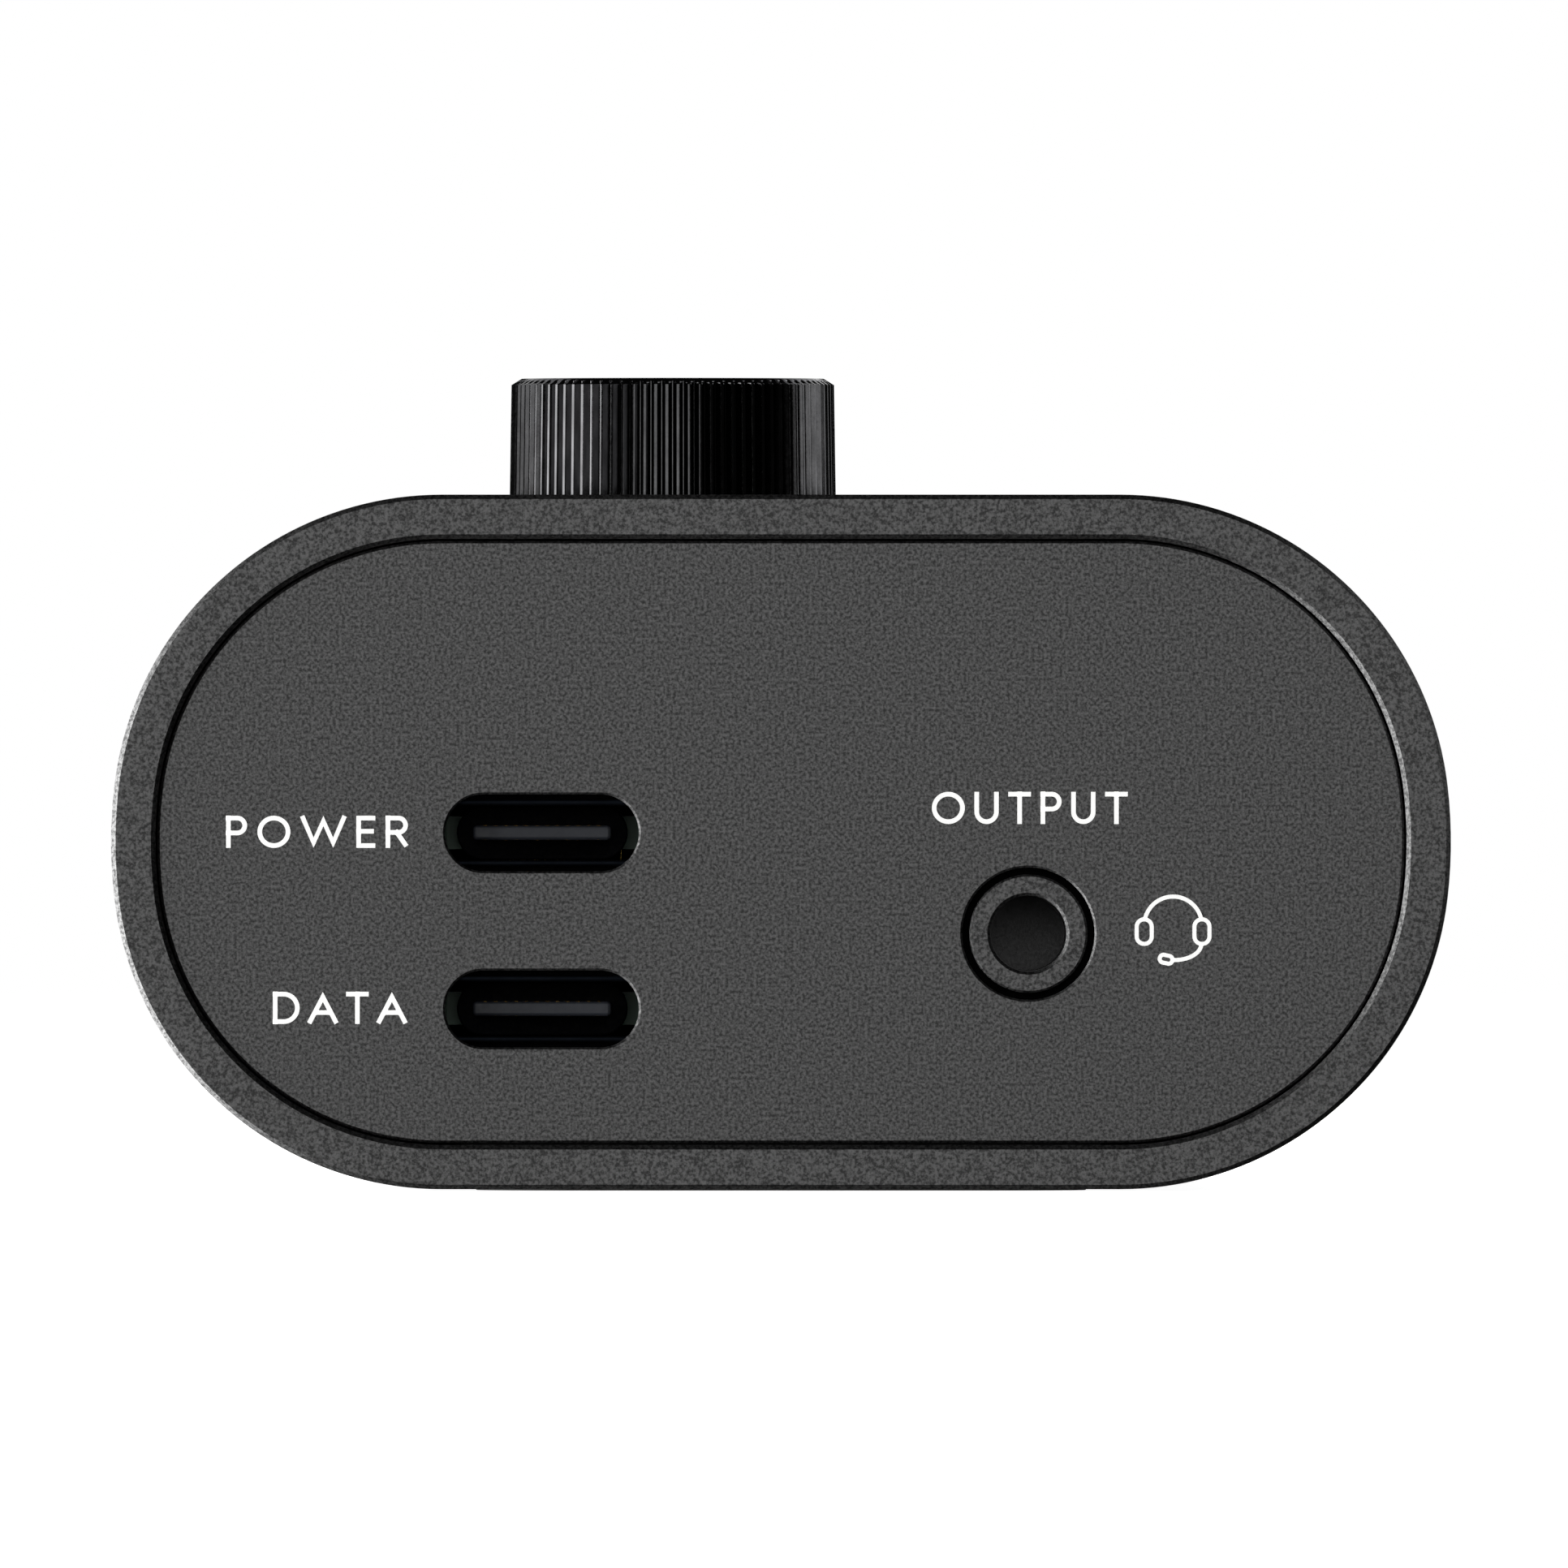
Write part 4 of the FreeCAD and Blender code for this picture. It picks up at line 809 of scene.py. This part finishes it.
LETTER_WIDTHS = {"P": 1.02, "O": 1.6, "W": 2.2, "E": 0.92, "R": 1.08, "D": 1.3, "A": 1.45, "T": 1.1, "U": 1.18,
                 "I": 0.25, "N": 1.25}


def word_width(word, gap):
    """A word's width in mm: its letters' widths added up, with a gap between each two."""
    return sum(LETTER_WIDTHS[kind] for kind in word) + gap * (len(word) - 1)


def label_piece(name, word, x, z, face, turn, gap=0.47, align="right"):
    """A word printed on a plate. x is its right end or its middle, in mm, and z its base line. turn is
    1 on the end that faces -Y and -1 on the other, where X runs the other way as it is read."""
    chosen = sizes("label")
    width = word_width(word, gap)
    start = x - (width if align == "right" else width / 2)
    stroke_mm, rise_mm = chosen.stroke / MM, chosen.cap_rise / MM
    half = stroke_mm / 2
    surface = Surface()
    for kind in word:
        strokes, closed = letter(kind, LETTER_WIDTHS[kind] - stroke_mm, rise_mm - stroke_mm)
        for stroke in strokes:
            points = (np.array(stroke) + (start + half, z + half)) * MM
            points[:, 0] *= turn
            ribbon(surface, points, chosen.stroke, face, chosen.ink_rise, turn, closed)
        start += LETTER_WIDTHS[kind] + gap
    return surface.piece(name, "label_ink")


def headset_icon(face):
    """A plain sign for a headset, all in strokes: a head band, two ear cups and a boom with a capsule."""
    chosen = sizes("label")
    x, z, stroke, thick = 19.02, 12.6, 0.195 * MM, chosen.ink_rise
    surface = Surface()
    ribbon(surface, arc((x, z + 0.3), 1.4, 0.32, math.pi - 0.32, 40) * MM, stroke, face, thick, 1)
    turn = np.linspace(-0.05, -math.pi / 2, 20)
    boom = np.stack([x + 0.07 + 1.3 * np.cos(turn), z - 0.6 + 0.78 * np.sin(turn)], 1) * MM
    ribbon(surface, boom, stroke, face, thick, 1)
    lean = math.radians(-12)
    tilt = np.array([[math.cos(lean), math.sin(lean)], [-math.sin(lean), math.cos(lean)]])
    for centre, width, rise, turned in (((x - 1.4, z), 0.73, 1.19, np.eye(2)), ((x + 1.4, z), 0.73, 1.19, np.eye(2)),
                                        ((x - 0.34, z - 1.34), 0.62, 0.38, tilt)):
        shape = block_loop(0, 0, width, rise, min(width, rise) / 2 - 0.01, 8)() @ turned + centre
        ribbon(surface, shape * MM, stroke, face, thick, 1, closed=True)
    return surface.piece("headset_sign", "label_ink")


# --- studio -----------------------------------------------------------------------------------------

def panel_light(name, place, aim, width, rise, power, glossy=True):
    """A soft rectangular light aimed at a point."""
    lamp = bpy.data.lights.new(name, "AREA")
    lamp.shape = "RECTANGLE"
    lamp.size, lamp.size_y, lamp.energy = width, rise, power
    holder = bpy.data.objects.new(name, lamp)
    holder.location = place
    holder.rotation_euler = (Vector(aim) - Vector(place)).to_track_quat("-Z", "Y").to_euler()
    holder.visible_glossy = glossy
    holder.visible_camera = False
    bpy.context.scene.collection.objects.link(holder)
    return holder


def studio():
    """A white room light for the camera's eyes only, the camera, five panel lights and the floor."""
    scene = bpy.context.scene
    scene.view_settings.view_transform = "Standard"
    chosen = sizes("studio")
    world = bpy.data.worlds.new("Studio")
    scene.world = world
    world.use_nodes = True
    tree = world.node_tree
    tree.nodes.clear()
    path = add(tree, "LightPath")
    white = add(tree, "Background", color=(1, 1, 1, 1), strength=1.0)
    dim = add(tree, "Background", color=(1, 1, 1, 1), strength=chosen.room)
    both = add(tree, "MixShader", {0: path.outputs["Is Camera Ray"], 1: dim.outputs[0], 2: white.outputs[0]})
    out = tree.nodes.new("ShaderNodeOutputWorld")
    tree.links.new(both.outputs[0], out.inputs["Surface"])

    centre = middle(*CAD_BOX)
    lens = bpy.data.cameras.new("camera")
    lens.sensor_width = 36.0
    distance = chosen.camera_back
    lens.lens = lens.sensor_width * distance / chosen.view_width
    lens.clip_start, lens.clip_end = 0.01, 100
    camera = bpy.data.objects.new("camera", lens)
    camera.location = (0.146 * MM, SHELL_LOW.y - distance, 19.76 * MM)
    camera.rotation_euler = (math.pi / 2, 0, 0)
    scene.collection.objects.link(camera)
    scene.camera = camera

    # A tall panel at the left gives the bright crests and the lit edges that face left. It reaches below the
    # floor, which casts no shadow, so that it also lights the edges that face down. The front stays dim.
    aim = (0, SHELL_LOW.y, centre.z)
    panel_light("left_panel", (-0.75, -0.08, -0.12), (0, -0.03, 0.03), 0.85, 1.3, chosen.left_power)
    panel_light("front_panel", (-0.2, -1.7, 0.4), aim, 1.2, 0.86, chosen.front_power)
    panel_light("right_panel", (0.62, 0.5, 0.3), (0, 0, 0.02), 0.8, 0.6, chosen.right_power)
    panel_light("back_panel", (0.35, 0.85, 0.5), (0, 0, 0.02), 0.9, 0.45, chosen.back_power)
    panel_light("top_panel", (-0.5, 0.9, 0.62), (0, 0, 0.02), 0.8, 0.5, chosen.top_power)

    mesh = bpy.data.meshes.new("floor")
    surface = Surface()
    reach = 3.0
    surface.fill(np.array([(-reach, -reach, 0), (reach, -reach, 0), (reach, reach, 0), (-reach, reach, 0)], float))
    mesh.from_pydata(np.concatenate(surface.points).tolist(), [], surface.faces)
    floor = bpy.data.objects.new("floor", mesh)
    scene.collection.objects.link(floor)
    mesh.materials.append(white_paper())
    floor.visible_diffuse = False
    floor.visible_glossy = False
    floor.visible_shadow = False


def white_paper():
    """Matt white paper that glows enough to read as pure white, and a little less under the object, so
    that only a faint shadow shows where it stands."""
    material, tree, principled = shader("Paper, matt white", linear("#f2f2f2"), 0.0, 0.9)
    where = add(tree, "TexCoord").outputs["Object"]
    far = add(tree, "VectorMath", {0: where}, operation="LENGTH")
    glow = add(tree, "MapRange", {"Value": far.outputs["Value"]})
    for socket, setting in (("From Min", 0.08), ("From Max", 0.5), ("To Min", 0.9), ("To Max", 1.0)):
        glow.inputs[socket].default_value = setting
    principled.inputs["Emission Color"].default_value = (1, 1, 1, 1)
    tree.links.new(glow.outputs["Result"], principled.inputs["Emission Strength"])
    tree.links.new(bump(tree, grain(tree, 2.0), 0.02, 0.1), principled.inputs["Normal"])
    return material


# --- groups of pieces, and the operators -------------------------------------------------------------

def jack_hole(node):
    """The plate's round hole for a jack's collar."""
    low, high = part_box(node)
    centre = middle(low, high)
    return circle_loop(centre.x, centre.z, (high.x - low.x) / 2 + JACK_HOLE_ROOM, 96)


def make_plates():
    """Both end plates, each with its openings and its printing."""
    face, far_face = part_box("connector_end_plate")[0].y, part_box("input_end_plate")[1].y
    windows = []
    for name in ("data", "power"):
        low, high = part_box(f"{name}_port_shell")
        centre = middle(low, high)
        windows.append(slot_loop(centre.x, centre.z, PORT_WIDTH + WINDOW_ROOM, PORT_RISE + WINDOW_ROOM))
    window_break = sizes("housing").window_break
    plate_piece("connector_plate", "connector_end_plate", windows + [jack_hole("output_jack_collar")],
                window_break, 1)
    plate_piece("input_plate", "input_end_plate", [jack_hole("input_jack_collar")], window_break, -1)
    label_piece("label_power", "POWER", -18.1, 16.66, face, 1, gap=0.5)
    label_piece("label_data", "DATA", -18.15, 8.12, face, 1, gap=0.4)
    label_piece("label_output", "OUTPUT", 12.07, 17.82, face, 1, gap=0.465, align="middle")
    label_piece("label_input", "INPUT", 0.0, 24.3, far_face, -1, gap=0.45, align="middle")
    headset_icon(face)


def make_seals():
    """A dust seal deep in the gap round each port and jack: a ring of rubber from the part to the plate, drawn darker
    than rubber as painted shade.
    """
    for name, node in (("power_port", "power_port_shell"), ("data_port", "data_port_shell"),
                       ("output_jack", "output_jack_collar"), ("input_jack", "input_jack_collar")):
        low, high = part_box(node)
        centre = middle(low, high)
        gap, rise = 0.225 * MM, high.z - low.z
        if name.endswith("jack"):
            gap = 0.33 * MM
            inside = circle_loop(centre.x, centre.z, rise / 2 + 0.005 * MM, 96)
        else:
            inside = slot_loop(centre.x, centre.z, high.x - low.x + 0.01 * MM, rise + 0.01 * MM)
        back = PLATE_BACK if centre.y < 0 else -PLATE_BACK
        near = back - 0.7 * MM if centre.y < 0 else back + 0.7 * MM
        surface = Surface()
        slab(surface, lambda grow, inside=inside: inside(grow + gap), [inside], near, back, facing_y,
             near_edge=0.06 * MM)
        # The seal's rubber is drawn near black, a painted shade in the gap.
        surface.piece(f"{name}_seal", "pad_rubber", finish="painted_shade_rubber")


def make_jacks_and_ports():
    """The jacks' collars and bore liners, the dust seals and both ports."""
    collar_piece("output_collar", "output_jack_collar")
    collar_piece("input_collar", "input_jack_collar")
    bore_piece("output_bore_liner", "output_jack_collar", 1.85, 14.0)
    bore_piece("input_bore_liner", "input_jack_collar", 3.25, 30.0)
    make_seals()
    port_pieces("data")
    port_pieces("power")


def make_frame_finishes():
    """Gives each CAD node that stays in sight its slot's finish."""
    slots = {part["node"]: part["material_slot"] for part in frame["record"]["subparts"]}
    for node, made in frame["nodes"].items():
        if made.hide_render:
            continue
        made.data.materials.clear()
        made.data.materials.append(finish_of(slots[node]))


class AUDIO_OT_housing(bpy.types.Operator):
    """Builds the tube with its holes and the base recess"""
    bl_idname = "audio_interface.housing"
    bl_label = "Housing"

    def execute(self, context):
        housing_piece()
        return {"FINISHED"}


class AUDIO_OT_plates(bpy.types.Operator):
    """Builds both end plates and their printing"""
    bl_idname = "audio_interface.plates"
    bl_label = "End plates and labels"

    def execute(self, context):
        make_plates()
        return {"FINISHED"}


class AUDIO_OT_connectors(bpy.types.Operator):
    """Builds the jacks' collars, the seals and the ports"""
    bl_idname = "audio_interface.connectors"
    bl_label = "Connectors"

    def execute(self, context):
        make_jacks_and_ports()
        return {"FINISHED"}


class AUDIO_OT_knob(bpy.types.Operator):
    """Builds the ridged knob"""
    bl_idname = "audio_interface.knob"
    bl_label = "Knob"

    def execute(self, context):
        knob_piece()
        return {"FINISHED"}


class AUDIO_OT_base_pad(bpy.types.Operator):
    """Builds the rubber pad"""
    bl_idname = "audio_interface.base_pad"
    bl_label = "Base pad"

    def execute(self, context):
        pad_piece()
        return {"FINISHED"}


class AUDIO_OT_frame_finishes(bpy.types.Operator):
    """Gives the inner parts their finishes"""
    bl_idname = "audio_interface.frame_finishes"
    bl_label = "Inner parts"

    def execute(self, context):
        make_frame_finishes()
        return {"FINISHED"}


class AUDIO_OT_studio(bpy.types.Operator):
    """Builds the floor, the lights and the camera"""
    bl_idname = "audio_interface.studio"
    bl_label = "Studio"

    def execute(self, context):
        studio()
        return {"FINISHED"}


OPERATORS = [AUDIO_OT_housing, AUDIO_OT_plates, AUDIO_OT_connectors, AUDIO_OT_knob, AUDIO_OT_base_pad,
             AUDIO_OT_frame_finishes, AUDIO_OT_studio]


class AUDIO_PT_panel(bpy.types.Panel):
    """Lists the sizes and the making steps."""
    bl_idname = "AUDIO_PT_panel"
    bl_label = "Audio interface"
    bl_space_type = "VIEW_3D"
    bl_region_type = "UI"
    bl_category = "Audio interface"

    def draw(self, context):
        for name, group in GROUPS.items():
            box = self.layout.box()
            box.label(text=name.title())
            for prop in group.__annotations__:
                box.prop(sizes(name), prop)
        for made in OPERATORS:
            self.layout.operator(made.bl_idname)


GROUPS = {"housing": HousingSizes, "knob": KnobSizes, "label": LabelSizes, "studio": StudioSizes}


def register():
    """Registers the size groups, the operators and the panel."""
    for name, group in GROUPS.items():
        bpy.utils.register_class(group)
        setattr(bpy.types.Scene, "audio_interface_" + name, PointerProperty(type=group))
    for made in [*OPERATORS, AUDIO_PT_panel]:
        bpy.utils.register_class(made)


def unregister():
    """Takes back what register added, last first."""
    for made in [AUDIO_PT_panel, *reversed(OPERATORS)]:
        bpy.utils.unregister_class(made)
    for name, group in GROUPS.items():
        delattr(bpy.types.Scene, "audio_interface_" + name)
        bpy.utils.unregister_class(group)


def main():
    register()
    for step in OPERATORS:
        getattr(bpy.ops.audio_interface, step.bl_idname.split(".")[1])()


if __name__ == "__main__":
    main()
